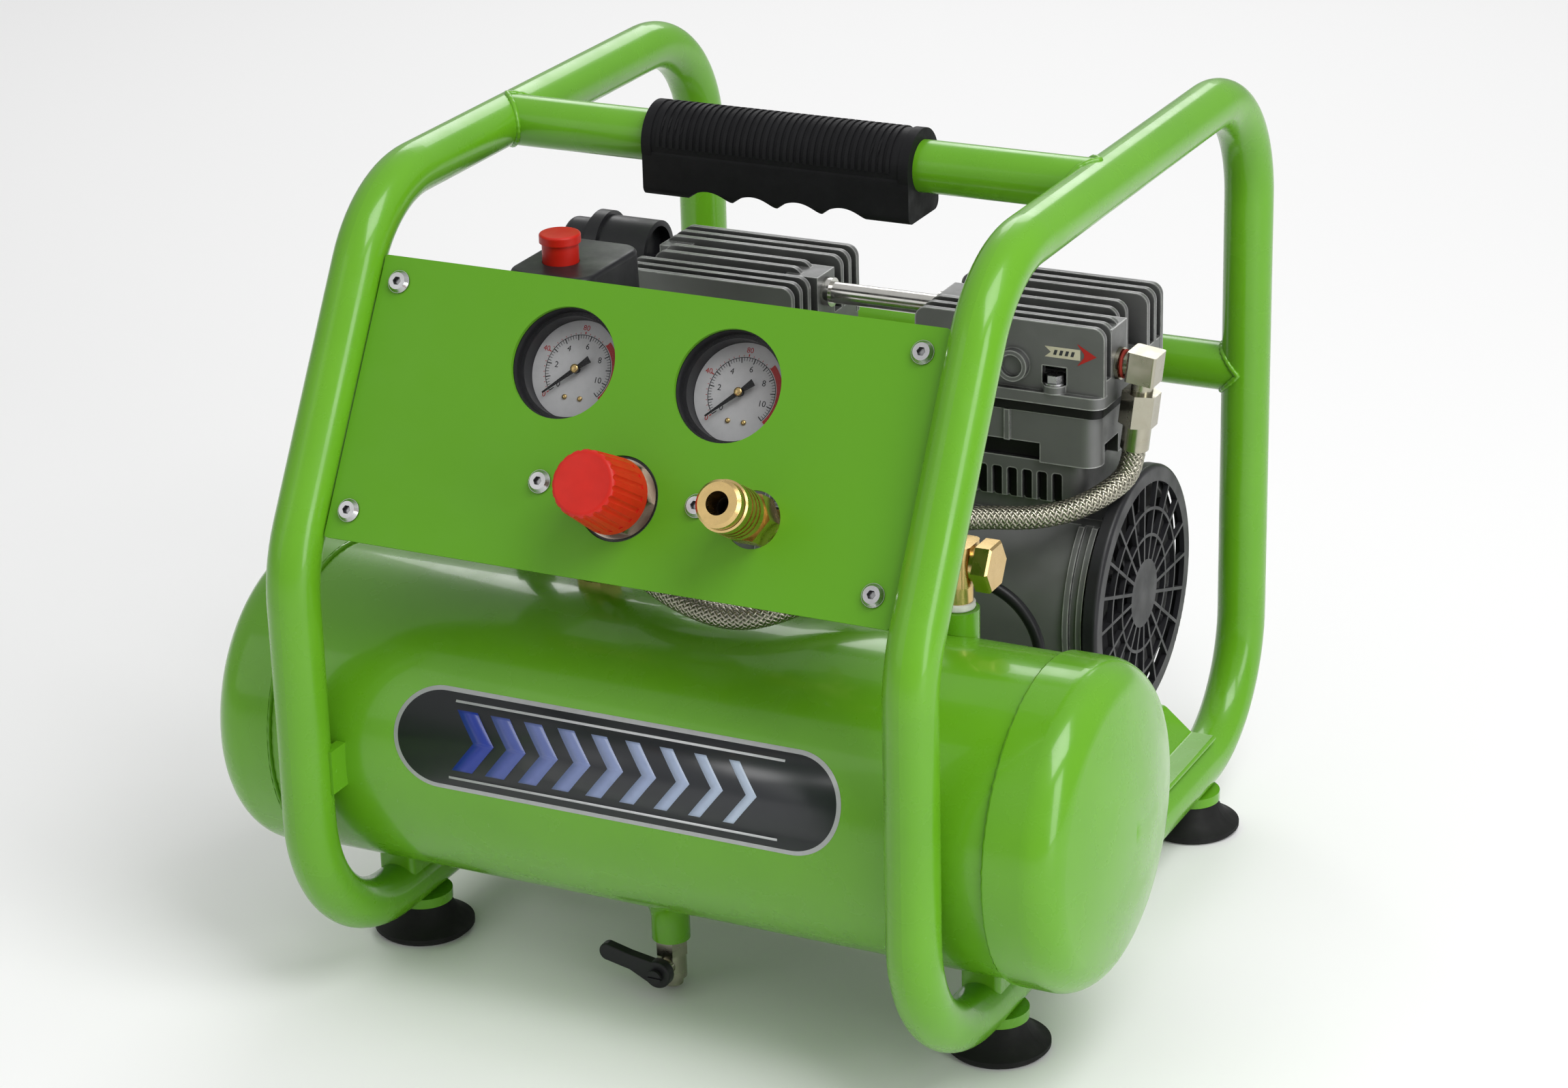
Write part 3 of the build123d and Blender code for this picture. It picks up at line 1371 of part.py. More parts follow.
def relief(start, way):
    """A tapered sleeve that grows out of a casing along the given way."""
    with BuildPart() as sleeve:
        with BuildSketch(Plane(origin=start, z_dir=way)):
            Circle(relief_r)
        with BuildSketch(Plane(origin=start + way * relief_length, z_dir=way)):
            Circle(lead_r + 0.6)
        loft()
    return sleeve.part


with BuildPart() as motor_lead:
    add(flexible_line(lead_route, lead_r))
    add(relief(lead_start, lead_way))
    add(relief(lead_finish, Vector(1, 0, 0)))
save(motor_lead.part, "motor_lead")
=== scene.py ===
import json
import math
import random

import bmesh
import bpy
from mathutils import Matrix, Vector


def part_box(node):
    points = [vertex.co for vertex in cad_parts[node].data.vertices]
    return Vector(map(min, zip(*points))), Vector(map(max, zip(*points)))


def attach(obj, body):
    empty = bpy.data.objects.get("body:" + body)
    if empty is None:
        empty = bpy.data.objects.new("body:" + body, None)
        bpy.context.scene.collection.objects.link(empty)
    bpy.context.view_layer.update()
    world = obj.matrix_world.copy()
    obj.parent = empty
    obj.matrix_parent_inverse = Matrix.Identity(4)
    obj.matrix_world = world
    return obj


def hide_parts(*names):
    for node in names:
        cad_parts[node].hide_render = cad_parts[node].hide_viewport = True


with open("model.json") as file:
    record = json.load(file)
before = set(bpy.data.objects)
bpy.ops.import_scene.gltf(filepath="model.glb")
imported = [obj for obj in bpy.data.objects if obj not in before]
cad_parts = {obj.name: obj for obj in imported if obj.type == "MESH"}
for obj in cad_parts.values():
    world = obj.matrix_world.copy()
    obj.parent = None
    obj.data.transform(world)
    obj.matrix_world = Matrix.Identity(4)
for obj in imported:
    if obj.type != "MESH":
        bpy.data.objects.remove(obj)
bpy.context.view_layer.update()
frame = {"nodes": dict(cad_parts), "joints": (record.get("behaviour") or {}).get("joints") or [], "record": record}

MM = 0.001
nodes = frame["nodes"]

# ---- places worked out from the frame -----------------------------------------------------------
shell_low, shell_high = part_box("tank_shell")
TANK_AXIS_Y = (shell_low.y + shell_high.y) / 2
TANK_AXIS_Z = (shell_low.z + shell_high.z) / 2
TANK_R = (shell_high.z - shell_low.z) / 2
loop_low, loop_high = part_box("frame_loop_right")
LOOP_X = (loop_low.x + loop_high.x) / 2
TUBE_R = (loop_high.x - loop_low.x) / 2
bar_low, bar_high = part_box("handle_bar")
BAR_Y = (bar_low.y + bar_high.y) / 2
BAR_Z = (bar_low.z + bar_high.z) / 2
brace_low, brace_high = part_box("rear_brace")
BRACE_Y = (brace_low.y + brace_high.y) / 2
BRACE_Z = (brace_low.z + brace_high.z) / 2
OUTLET = [m for m in frame["record"]["mounts"] if m["name"] == "air_outlet"][0]
PANEL_OUT = Vector(OUTLET["axis"]).normalized()
PANEL_UP = Vector((0, PANEL_OUT.z, -PANEL_OUT.y))


# ---- materials ----------------------------------------------------------------------------------
class Finish:
    """A node material whose shader is a Principled BSDF; helpers add pattern to it."""

    def __init__(self, name, colour, roughness, metallic=0.0):
        self.material = bpy.data.materials.new(name)
        self.material.use_nodes = True
        self.tree = self.material.node_tree
        self.shader = self.tree.nodes["Principled BSDF"]
        self.shader.inputs["Base Color"].default_value = (*colour, 1)
        self.shader.inputs["Roughness"].default_value = roughness
        self.shader.inputs["Metallic"].default_value = metallic
        self.colour = colour
        self.place = self.tree.nodes.new("ShaderNodeTexCoord")
        self.last_normal = None

    def set(self, **values):
        for key, value in values.items():
            self.shader.inputs[key.replace("_", " ")].default_value = value
        return self

    def noise(self, scale, detail=4.0, stretch=(1, 1, 1), roughness=0.55):
        mapping = self.tree.nodes.new("ShaderNodeMapping")
        mapping.inputs["Scale"].default_value = stretch
        texture = self.tree.nodes.new("ShaderNodeTexNoise")
        texture.inputs["Scale"].default_value = scale
        texture.inputs["Detail"].default_value = detail
        texture.inputs["Roughness"].default_value = roughness
        self.tree.links.new(self.place.outputs["Object"], mapping.inputs["Vector"])
        self.tree.links.new(mapping.outputs["Vector"], texture.inputs["Vector"])
        return texture.outputs["Fac"]

    def ramp(self, source, low, high, low_value, high_value):
        spread = self.tree.nodes.new("ShaderNodeMapRange")
        spread.inputs["From Min"].default_value = low
        spread.inputs["From Max"].default_value = high
        spread.inputs["To Min"].default_value = low_value
        spread.inputs["To Max"].default_value = high_value
        self.tree.links.new(source, spread.inputs["Value"])
        return spread.outputs["Result"]

    def mottle(self, source, other, low=0.4, high=0.65, most=1.0):
        """Base colour moves towards other where source is high."""
        mix = self.tree.nodes.new("ShaderNodeMix")
        mix.data_type = "RGBA"
        mix.inputs["A"].default_value = (*self.colour, 1)
        mix.inputs["B"].default_value = (*other, 1)
        self.tree.links.new(self.ramp(source, low, high, 0.0, most), mix.inputs["Factor"])
        self.tree.links.new(mix.outputs["Result"], self.shader.inputs["Base Color"])
        return self

    def vary_roughness(self, source, low_value, high_value, low=0.35, high=0.65):
        spread = self.ramp(source, low, high, low_value, high_value)
        self.tree.links.new(spread, self.shader.inputs["Roughness"])
        return self

    def bump(self, source, strength, distance):
        node = self.tree.nodes.new("ShaderNodeBump")
        node.inputs["Strength"].default_value = strength
        node.inputs["Distance"].default_value = distance
        self.tree.links.new(source, node.inputs["Height"])
        if self.last_normal is not None:
            self.tree.links.new(self.last_normal, node.inputs["Normal"])
        self.tree.links.new(node.outputs["Normal"], self.shader.inputs["Normal"])
        self.last_normal = node.outputs["Normal"]
        return self

    def worn_edges(self, edge_colour, radius, most=0.9):
        """Colour moves towards edge_colour along sharp edges, broken up a little by noise."""
        bevel = self.tree.nodes.new("ShaderNodeBevel")
        bevel.samples = 4
        bevel.inputs["Radius"].default_value = radius
        geometry = self.tree.nodes.new("ShaderNodeNewGeometry")
        turn = self.tree.nodes.new("ShaderNodeVectorMath")
        turn.operation = "DOT_PRODUCT"
        self.tree.links.new(bevel.outputs["Normal"], turn.inputs[0])
        self.tree.links.new(geometry.outputs["Normal"], turn.inputs[1])
        edge = self.ramp(turn.outputs["Value"], 0.995, 0.93, 0.0, 1.0)
        product = self.tree.nodes.new("ShaderNodeMath")
        product.operation = "MULTIPLY"
        self.tree.links.new(edge, product.inputs[0])
        self.tree.links.new(self.ramp(self.noise(160, 3), 0.30, 0.48, 0.35, most), product.inputs[1])
        mix = self.tree.nodes.new("ShaderNodeMix")
        mix.data_type = "RGBA"
        mix.inputs["B"].default_value = (*edge_colour, 1)
        link = self.shader.inputs["Base Color"].links
        self.tree.links.new(link[0].from_socket, mix.inputs["A"])
        self.tree.links.new(product.outputs["Value"], mix.inputs["Factor"])
        self.tree.links.new(mix.outputs["Result"], self.shader.inputs["Base Color"])
        return self


def darken_recesses(finish, reach, least):
    """Painted shade: base colour falls towards black inside slots and between fins, wherever ambient occlusion
    finds the surface closed in.
    """
    hollow = finish.tree.nodes.new("ShaderNodeAmbientOcclusion")
    hollow.samples = 4
    hollow.inputs["Distance"].default_value = reach
    shade = finish.ramp(hollow.outputs["AO"], 0.22, 0.60, least, 1.0)
    scale = finish.tree.nodes.new("ShaderNodeMix")
    scale.data_type = "RGBA"
    scale.inputs["A"].default_value = (0.002, 0.002, 0.002, 1)
    source = finish.shader.inputs["Base Color"].links[0].from_socket
    finish.tree.links.new(source, scale.inputs["B"])
    finish.tree.links.new(shade, scale.inputs["Factor"])
    finish.tree.links.new(scale.outputs["Result"], finish.shader.inputs["Base Color"])


LIME = (0.128, 0.372, 0.012)
LIME_DEEP = (0.100, 0.310, 0.008)


def paint(name, colour, deep, roughness, coat):
    """Powder coat over steel: faint colour drift, orange peel, soft gloss with dust and wipe marks."""
    finish = Finish(name, colour, roughness)
    finish.set(Coat_Weight=coat, Coat_Roughness=0.06, Specular_IOR_Level=0.35)
    finish.mottle(finish.noise(14, 3), deep, 0.35, 0.75, 0.5)
    finish.vary_roughness(finish.noise(38, 5), roughness - 0.05, roughness + 0.09)
    finish.bump(finish.noise(420, 2), 0.06, 0.0002)
    finish.bump(finish.noise(60, 2), 0.05, 0.0006)
    return finish.material


def rubber(name, colour, roughness=0.62):
    finish = Finish(name, colour, roughness)
    finish.set(Specular_IOR_Level=0.22)
    lighter = tuple(min(1.0, c * 1.6 + 0.002) for c in colour)
    finish.mottle(finish.noise(90, 5), lighter, 0.45, 0.8, 0.6)
    finish.vary_roughness(finish.noise(60, 4), roughness - 0.1, roughness + 0.12)
    finish.bump(finish.noise(1500, 2), 0.18, 0.0002)
    return finish.material


def moulded(name, colour, roughness, grain=900, depth=0.10):
    """Moulded plastic with a fine spark-eroded grain."""
    finish = Finish(name, colour, roughness)
    finish.set(Specular_IOR_Level=0.32)
    lighter = tuple(min(1.0, c * 1.35 + 0.003) for c in colour)
    finish.mottle(finish.noise(45, 4), lighter, 0.4, 0.75, 0.6)
    finish.vary_roughness(finish.noise(70, 4), roughness - 0.06, roughness + 0.08)
    finish.bump(finish.noise(grain, 2), depth, 0.0002)
    return finish.material


def casting(name, colour, roughness, edge_colour=(0.62, 0.62, 0.61)):
    """Lacquered die-cast aluminium: even grey with a fine grain, a lighter colour along sharp edges, and painted
    shade that turns its slots and the gaps between fins black.
    """
    finish = Finish(name, colour, roughness, 0.35)
    finish.mottle(finish.noise(35, 5), tuple(c * 0.80 for c in colour), 0.40, 0.75, 0.6)
    finish.worn_edges(edge_colour, 0.0011)
    # painted shade: slots and the gaps between fins fall to black
    darken_recesses(finish, 0.017, 0.0)
    finish.vary_roughness(finish.noise(90, 4), roughness - 0.06, roughness + 0.10)
    finish.bump(finish.noise(1300, 2), 0.10, 0.0002)
    return finish.material


def machined(name, colour, roughness, dull, shaded=0.0):
    """Turned or plated metal: fine tool marks and a little tarnish, and, where shaded is given, painted shade in
    its hollows.
    """
    finish = Finish(name, colour, roughness, 1.0)
    finish.mottle(finish.noise(120, 5), dull, 0.48, 0.78, 0.35)
    if shaded:
        # painted shade: hollows darken towards black
        darken_recesses(finish, shaded, 0.05)
    finish.vary_roughness(finish.noise(110, 4), roughness - 0.04, roughness + 0.06)
    finish.bump(finish.noise(700, 2), 0.02, 0.0001)
    return finish.material


def clear(name):
    """Clear lens that shows what is behind it, with a faint gloss."""
    finish = Finish(name, (0.02, 0.02, 0.02), 0.04)
    finish.set(Alpha=0.05, IOR=1.45)
    finish.vary_roughness(finish.noise(70, 3), 0.03, 0.07)
    return finish.material


def printed(name, colour, roughness=0.5):
    finish = Finish(name, colour, roughness)
    finish.mottle(finish.noise(260, 3), tuple(c * 0.86 for c in colour), 0.45, 0.8, 0.6)
    return finish.material


SLOTS = {
    "frame_paint": paint("powder_coat_lime", LIME, LIME_DEEP, 0.26, 0.30),
    "tank_paint": paint("tank_enamel_lime", LIME, LIME_DEEP, 0.24, 0.35),
    "panel_paint": paint("panel_enamel_lime", (0.100, 0.315, 0.006), LIME_DEEP, 0.45, 0.0),
    "grip_rubber": rubber("grip_rubber", (0.005, 0.005, 0.006)),
    "foot_rubber": rubber("foot_rubber", (0.010, 0.010, 0.010), 0.7),
    # the screws take painted shade in their sockets and hollows
    "screw_steel": machined("zinc_steel", (0.52, 0.52, 0.53), 0.24, (0.36, 0.35, 0.33), 0.004),
    "black_plastic": moulded("black_moulding", (0.014, 0.014, 0.016), 0.38),
    "dial_white": printed("dial_card", (0.50, 0.50, 0.51)),
    "needle_black": moulded("needle_black", (0.004, 0.004, 0.005), 0.45),
    "gauge_glass": clear("gauge_lens"),
    "red_plastic": moulded("red_moulding", (0.50, 0.012, 0.005), 0.38, 700, 0.07),
    "chrome": machined("plated_nut", (0.52, 0.45, 0.38), 0.30, (0.36, 0.31, 0.25)),
    "die_cast": casting("zinc_casting", (0.25, 0.25, 0.25), 0.42),
    "brass": machined("turned_brass", (0.66, 0.47, 0.20), 0.26, (0.48, 0.34, 0.12)),
    "nickel": machined("nickel_plate", (0.42, 0.40, 0.32), 0.24, (0.32, 0.29, 0.21)),
    "copper": machined("copper_tube", (0.72, 0.36, 0.20), 0.25, (0.40, 0.20, 0.11)),
    "cast_aluminium": casting("pump_casting", (0.155, 0.157, 0.155), 0.40),
    "gasket_black": rubber("gasket", (0.008, 0.008, 0.008), 0.55),
    "bright_pipe": machined("bright_tube", (0.66, 0.65, 0.61), 0.20, (0.46, 0.44, 0.40)),
    "braid": machined("wire_braid", (0.40, 0.38, 0.31), 0.30, (0.26, 0.25, 0.20)),
    "lead_rubber": rubber("lead_sheath", (0.008, 0.008, 0.009), 0.38),
    "machined_steel": machined("ground_steel", (0.52, 0.52, 0.53), 0.25, (0.33, 0.32, 0.31)),
}
INK = {
    "black": printed("ink_black", (0.010, 0.010, 0.012)),
    "red": printed("ink_red", (0.42, 0.012, 0.010)),
    "charcoal": printed("ink_charcoal", (0.022, 0.024, 0.028), 0.32),
    "silver": printed("ink_silver", (0.52, 0.53, 0.54), 0.30),
    "cream": printed("ink_cream", (0.60, 0.56, 0.42), 0.45),
}
BARE = {
    "seal_white": rubber("thread_tape", (0.62, 0.62, 0.58), 0.55),
    "seal_red": rubber("thread_sealant", (0.22, 0.020, 0.012), 0.50),
}
SLOT_OF = {part["node"]: part["material_slot"] for part in frame["record"]["subparts"]}


def dress(obj, slot_name):
    """One material for the whole piece: the finish of the record's slot that slot_name names."""
    obj.data.materials.clear()
    obj.data.materials.append(SLOTS[slot_name])
    return obj


for node_name, node in nodes.items():
    dress(node, SLOT_OF[node_name])


# ---- mesh helpers -------------------------------------------------------------------------------
def new_piece(name, mesh_maker, material, body="root", smooth=True):
    """A mesh object filled by mesh_maker(bmesh), riding on a body."""
    mesh = bpy.data.meshes.new(name)
    work = bmesh.new()
    mesh_maker(work)
    bmesh.ops.recalc_face_normals(work, faces=work.faces)
    work.to_mesh(mesh)
    work.free()
    piece = bpy.data.objects.new(name, mesh)
    bpy.context.scene.collection.objects.link(piece)
    mesh.materials.append(material)
    if smooth:
        mesh.shade_smooth()
    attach(piece, body)
    return piece


def tube_along(work, points, radius_at, around=12, closed=False):
    """A round tube through the points; radius_at(i) is its radius at point i."""
    count = len(points)
    rings = []
    side = None
    for i, point in enumerate(points):
        before = points[i - 1] if (i or closed) else point
        after = points[(i + 1) % count] if (i + 1 < count or closed) else point
        ahead = (after - before).normalized()
        if side is None:
            side = ahead.orthogonal().normalized()
        side = (side - ahead * side.dot(ahead)).normalized()
        other = ahead.cross(side)
        radius = radius_at(i)
        ring = []
        for k in range(around):
            angle = 2 * math.pi * k / around
            ring.append(work.verts.new(point + (side * math.cos(angle) + other * math.sin(angle)) * radius))
        rings.append(ring)
    pairs = list(zip(rings, rings[1:]))
    if closed:
        pairs.append((rings[-1], rings[0]))
    for low, high in pairs:
        for k in range(around):
            nxt = (k + 1) % around
            work.faces.new((low[k], low[nxt], high[nxt], high[k]))
    if not closed:
        work.faces.new(rings[0])
        work.faces.new(list(reversed(rings[-1])))


def weld_ring(name, centre_at, bead_r, seed, count=96, material=SLOTS["frame_paint"]):
    """A slightly uneven weld bead along a closed line; centre_at(angle) is a point on it."""
    shake = random.Random(seed)
    swell = [1 + 0.10 * math.sin(i * 1.9) + shake.uniform(-0.08, 0.08) for i in range(count)]
    points = [centre_at(2 * math.pi * i / count) for i in range(count)]
    return new_piece(
        name,
        lambda work: tube_along(work, points, lambda i: bead_r * swell[i], 8, closed=True),
        material,
    )


# ---- weld beads where tubes and tank parts meet -------------------------------------------------
BEAD = 1.5 * MM
SEAM_BEAD = 1.4 * MM
SEAM_R = TANK_R + 0.4 * MM
for side_name, side in (("left", -1), ("right", 1)):
    # each cross tube ends on the side of a loop's round tube, so its end line is saddle-shaped
    def handle_line(angle, side=side):
        along = TUBE_R * math.cos(angle)
        up = TUBE_R * math.sin(angle)
        reach = math.sqrt(max(TUBE_R ** 2 - up ** 2, 0))
        return Vector((side * (LOOP_X - reach), BAR_Y + along, BAR_Z + up))

    def brace_line(angle, side=side):
        along = TUBE_R * math.cos(angle)
        up = TUBE_R * math.sin(angle)
        reach = math.sqrt(max(TUBE_R ** 2 - along ** 2, 0))
        return Vector((side * (LOOP_X - reach), BRACE_Y + along, BRACE_Z + up))

    weld_ring("weld_handle_" + side_name, handle_line, BEAD, 11 + side)
    weld_ring("weld_brace_" + side_name, brace_line, BEAD, 21 + side)

head_box = {"left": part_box("tank_head_left"), "right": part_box("tank_head_right")}
for side_name, side in (("left", -1), ("right", 1)):
    low, high = head_box[side_name]
    seam_x = high.x if side < 0 else low.x

    def seam_line(angle, seam_x=seam_x):
        return Vector((seam_x, TANK_AXIS_Y + SEAM_R * math.cos(angle),
                       TANK_AXIS_Z + SEAM_R * math.sin(angle)))

    weld_ring("weld_head_" + side_name, seam_line, SEAM_BEAD, 31 + side, 240, SLOTS["tank_paint"])

# ---- dials: scales, numbers and hubs ------------------------------------------------------------
PLATE_RIGHT = Vector((1, 0, 0))
JOINTS = {joint["name"]: joint for joint in frame["joints"]}
ZERO_DEG = 222.0                  # where the scale starts, measured from the right
SWEEP_DEG = 264.0
INK_T = 0.08 * MM
THIN_TICK = 0.25 * MM
LONG_TICK = 0.5 * MM
BLACK_STEPS = 55                  # fifths of a unit, on an inner scale that runs from 0 to 11
BLACK_LONG = 5
RED_STEPS = 32                    # the outer scale runs from 0 to 160, and stops where the red arc starts
RED_LONG = 8
RED_SHOWN = 22
RED_FULL = 160
BLACK_FULL = 11
RED_ARC_FROM = 0.66


def farthest_out(node_name):
    """How far along the panel's outward axis a node reaches."""
    return max(vertex.co.dot(PANEL_OUT) for vertex in nodes[node_name].data.vertices)


def joint_point(joint_name):
    return Vector(JOINTS[joint_name]["pos_m"])


class DialPlane:
    """A flat face in front of one gauge's dial, measured from the needle's axis."""

    def __init__(self, joint_name, lift):
        pivot = joint_point(joint_name)
        out = farthest_out("gauge_dials") + lift
        self.centre = pivot + PANEL_OUT * (out - pivot.dot(PANEL_OUT))

    def at(self, radius, degrees, lift=0.0):
        angle = math.radians(degrees)
        flat = PLATE_RIGHT * math.cos(angle) + PANEL_UP * math.sin(angle)
        return self.centre + flat * radius + PANEL_OUT * lift


def add_prism(work, low_ring, high_ring):
    """Closes the space between two rings of points that match one to one."""
    low = [work.verts.new(point) for point in low_ring]
    high = [work.verts.new(point) for point in high_ring]
    count = len(low)
    work.faces.new(low)
    work.faces.new(list(reversed(high)))
    for k in range(count):
        nxt = (k + 1) % count
        work.faces.new((low[k], low[nxt], high[nxt], high[k]))


def arc_band(work, plane, inner, outer, start, end, steps):
    """A flat band between two radii, in short straight steps with both ends closed."""
    angles = [start + (end - start) * i / steps for i in range(steps + 1)]
    rings = []
    for angle in angles:
        rings.append([work.verts.new(plane.at(radius, angle, lift))
                      for radius, lift in ((inner, 0), (outer, 0), (outer, INK_T), (inner, INK_T))])
    for low, high in zip(rings, rings[1:]):
        for k in range(4):
            nxt = (k + 1) % 4
            work.faces.new((low[k], low[nxt], high[nxt], high[k]))
    work.faces.new(rings[0])
    work.faces.new(list(reversed(rings[-1])))


def scale_angle(share):
    return ZERO_DEG - SWEEP_DEG * share


def tick(work, plane, degrees, inner, outer, width):
    half = math.degrees(width / 2 / outer)
    start = degrees - half
    end = degrees + half
    corners = ((inner, start), (outer, start), (outer, end), (inner, end))
    add_prism(work, [plane.at(radius, angle) for radius, angle in corners],
              [plane.at(radius, angle, INK_T) for radius, angle in corners])


def mesh_of(holder):
    """The mesh that a text or curve object makes."""
    bpy.context.scene.collection.objects.link(holder)
    bpy.context.view_layer.update()
    return bpy.data.meshes.new_from_object(holder.evaluated_get(bpy.context.evaluated_depsgraph_get()))


def number_mesh(text, size):
    """The text as a thin closed mesh in its own XY plane, centred."""
    curve = bpy.data.curves.new("number", "FONT")
    curve.body = text
    curve.size = size
    curve.align_x = "CENTER"
    curve.align_y = "CENTER"
    curve.extrude = INK_T / 2
    curve.resolution_u = 3
    holder = bpy.data.objects.new("number", curve)
    mesh = mesh_of(holder)
    bpy.data.objects.remove(holder)
    bpy.data.curves.remove(curve)
    return mesh


def add_number(work, plane, text, size, radius, degrees):
    mesh = number_mesh(text, size)
    place = Matrix.Translation(plane.at(radius, degrees, INK_T / 2))
    turn = Matrix((PLATE_RIGHT, PANEL_UP, PANEL_OUT)).transposed().to_4x4()
    mesh.transform(place @ turn)
    work.from_mesh(mesh)
    bpy.data.meshes.remove(mesh)


def print_dial(side_name, joint_name):
    """A black inner scale with its numbers, a red outer scale, and a red arc at the top of the range."""
    plane = DialPlane(joint_name, 0.02 * MM)

    def black_marks(work):
        for step in range(BLACK_STEPS + 1):
            inner, width = (15.0, THIN_TICK) if step % BLACK_LONG else (14.2, LONG_TICK)
            tick(work, plane, scale_angle(step / BLACK_STEPS), inner * MM, 16.6 * MM, width)
        arc_band(work, plane, 16.55 * MM, 16.85 * MM, scale_angle(1), scale_angle(0), 66)
        for value in (0, 2, 4, 6, 8, 10):
            add_number(work, plane, str(value), 4.0 * MM, 11.6 * MM, scale_angle(value / BLACK_FULL))
        bmesh.ops.remove_doubles(work, verts=work.verts, dist=1e-7)

    def red_marks(work):
        for step in range(RED_SHOWN):
            outer, width = (17.8, THIN_TICK) if step % RED_LONG else (18.3, LONG_TICK)
            tick(work, plane, scale_angle(step / RED_STEPS), 17.1 * MM, outer * MM, width)
        for value in (0, 40, 80):
            add_number(work, plane, str(value), 3.6 * MM, 20.0 * MM, scale_angle(value / RED_FULL))
        arc_band(work, plane, 17.3 * MM, 20.2 * MM, scale_angle(1), scale_angle(RED_ARC_FROM), 30)
        bmesh.ops.remove_doubles(work, verts=work.verts, dist=1e-7)

    new_piece("dial_scale_" + side_name, black_marks, INK["black"], smooth=False)
    new_piece("dial_zone_" + side_name, red_marks, INK["red"], smooth=False)

    def screws(work):
        head = ((0.0, 0.0), (1.25, 0.0), (1.25, 0.35), (1.0, 0.7), (0.0, 0.8))
        for across in (-4.0, 4.0):
            foot = plane.centre + PLATE_RIGHT * across * MM - PANEL_UP * 13.2 * MM
            lathe(work, foot, PANEL_OUT, head, 20)

    new_piece("dial_screws_" + side_name, screws, SLOTS["brass"])


def lathe(work, foot, way, profile, around):
    """A turned solid: profile is radius and height in millimetres, starting and ending on the axis."""
    side = way.orthogonal().normalized()
    other = way.cross(side)
    rings = []
    for radius, height in profile:
        level = foot + way * height * MM
        if radius == 0:
            rings.append([work.verts.new(level)])
            continue
        turns = [2 * math.pi * k / around for k in range(around)]
        rings.append([work.verts.new(level + (side * math.cos(turn) + other * math.sin(turn)) * radius * MM)
                      for turn in turns])
    for low, high in zip(rings, rings[1:]):
        for k in range(around):
            nxt = (k + 1) % around
            corners = [low[k % len(low)], low[nxt % len(low)], high[nxt % len(high)], high[k % len(high)]]
            corners = [corner for i, corner in enumerate(corners) if corner not in corners[:i]]
            if len(corners) > 2:
                work.faces.new(corners)


def open_ring(work, foot, way, profile, around):
    """A ring whose section is the closed outline of radius and height, in millimetres."""
    side = way.orthogonal().normalized()
    other = way.cross(side)
    rings = []
    for k in range(around):
        turn = 2 * math.pi * k / around
        spoke = side * math.cos(turn) + other * math.sin(turn)
        rings.append([work.verts.new(foot + spoke * radius * MM + way * height * MM)
                      for radius, height in profile])
    count = len(profile)
    for k in range(around):
        low, high = rings[k], rings[(k + 1) % around]
        for j in range(count):
            nxt = (j + 1) % count
            work.faces.new((low[j], low[nxt], high[nxt], high[j]))


def needle_hub(side_name, joint_name):
    pivot = joint_point(joint_name)
    top = max(vertex.co.dot(PANEL_OUT) for vertex in nodes["gauge_needle_" + side_name].data.vertices)
    foot = pivot + PANEL_OUT * (top - pivot.dot(PANEL_OUT))
    profile = ((0.0, 0.0), (2.1, 0.0), (2.1, 0.35), (1.6, 0.8), (0.6, 1.0), (0.0, 1.05))
    new_piece("needle_hub_" + side_name, lambda work: lathe(work, foot, PANEL_OUT, profile, 28),
              SLOTS["brass"], body=side_name + "_needle")


for side_name in ("left", "right"):
    print_dial(side_name, side_name + "_needle_turn")
    needle_hub(side_name, side_name + "_needle_turn")

# ---- tank badge: a plain row of chevrons with no lettering ---------------------------------------
BADGE_X = -1.0 * MM
BADGE_ANGLE = math.radians(16.5)  # how far above level its middle faces
BADGE_HALF = 22.5 * MM
BADGE_STRAIGHT = 92.0 * MM
BADGE_BORDER = 2.2 * MM
CAPSULE_STEPS = 40
CHEVRONS = 9
CHEVRON_PITCH = 17.5 * MM
CHEVRON_HALF = 14.5 * MM
CHEVRON_FOLD = 0.75               # how far each arm leans back for its height
CHEVRON_STEPS = 24
LINE_HALF = 86.0 * MM
LINE_ALONG = 18.4 * MM


def on_tank(x, along, lift):
    """A point above the tank's front: along is measured round the shell from the badge's middle."""
    angle = BADGE_ANGLE + along / TANK_R
    reach = TANK_R + lift
    return Vector((x, TANK_AXIS_Y - reach * math.cos(angle), TANK_AXIS_Z + reach * math.sin(angle)))


def wrapped_strip(work, rows, low, high):
    """A closed skin over the shell; each row is how far round, then its two ends in x."""
    layers = []
    for along, x_low, x_high in rows:
        layers.append([work.verts.new(point) for point in (
            on_tank(x_low, along, low), on_tank(x_high, along, low),
            on_tank(x_high, along, high), on_tank(x_low, along, high))])
    for before, after in zip(layers, layers[1:]):
        for k in range(4):
            nxt = (k + 1) % 4
            work.faces.new((before[k], before[nxt], after[nxt], after[k]))
    work.faces.new(layers[0])
    work.faces.new(list(reversed(layers[-1])))


def capsule_rows(half, straight):
    rows = []
    for step in range(CAPSULE_STEPS + 1):
        along = -half * math.cos(math.pi * step / CAPSULE_STEPS)
        reach = straight + math.sqrt(max(half ** 2 - along ** 2, 0)) + 0.05 * MM
        rows.append((along, BADGE_X - reach, BADGE_X + reach))
    return rows


def chevron_rows(middle, width):
    """An upright stripe folded back at its middle, into an arrow shape."""
    rows = []
    for step in range(CHEVRON_STEPS + 1):
        along = -CHEVRON_HALF + 2 * CHEVRON_HALF * step / CHEVRON_STEPS
        shift = -CHEVRON_FOLD * abs(along)
        rows.append((along, middle + shift - width / 2, middle + shift + width / 2))
    return rows


def badge_piece(name, rows, low, high, material):
    """A closed skin over the tank's front; low and high are its two faces, in millimetres."""
    new_piece(name, lambda work: wrapped_strip(work, rows, low * MM, high * MM), material)


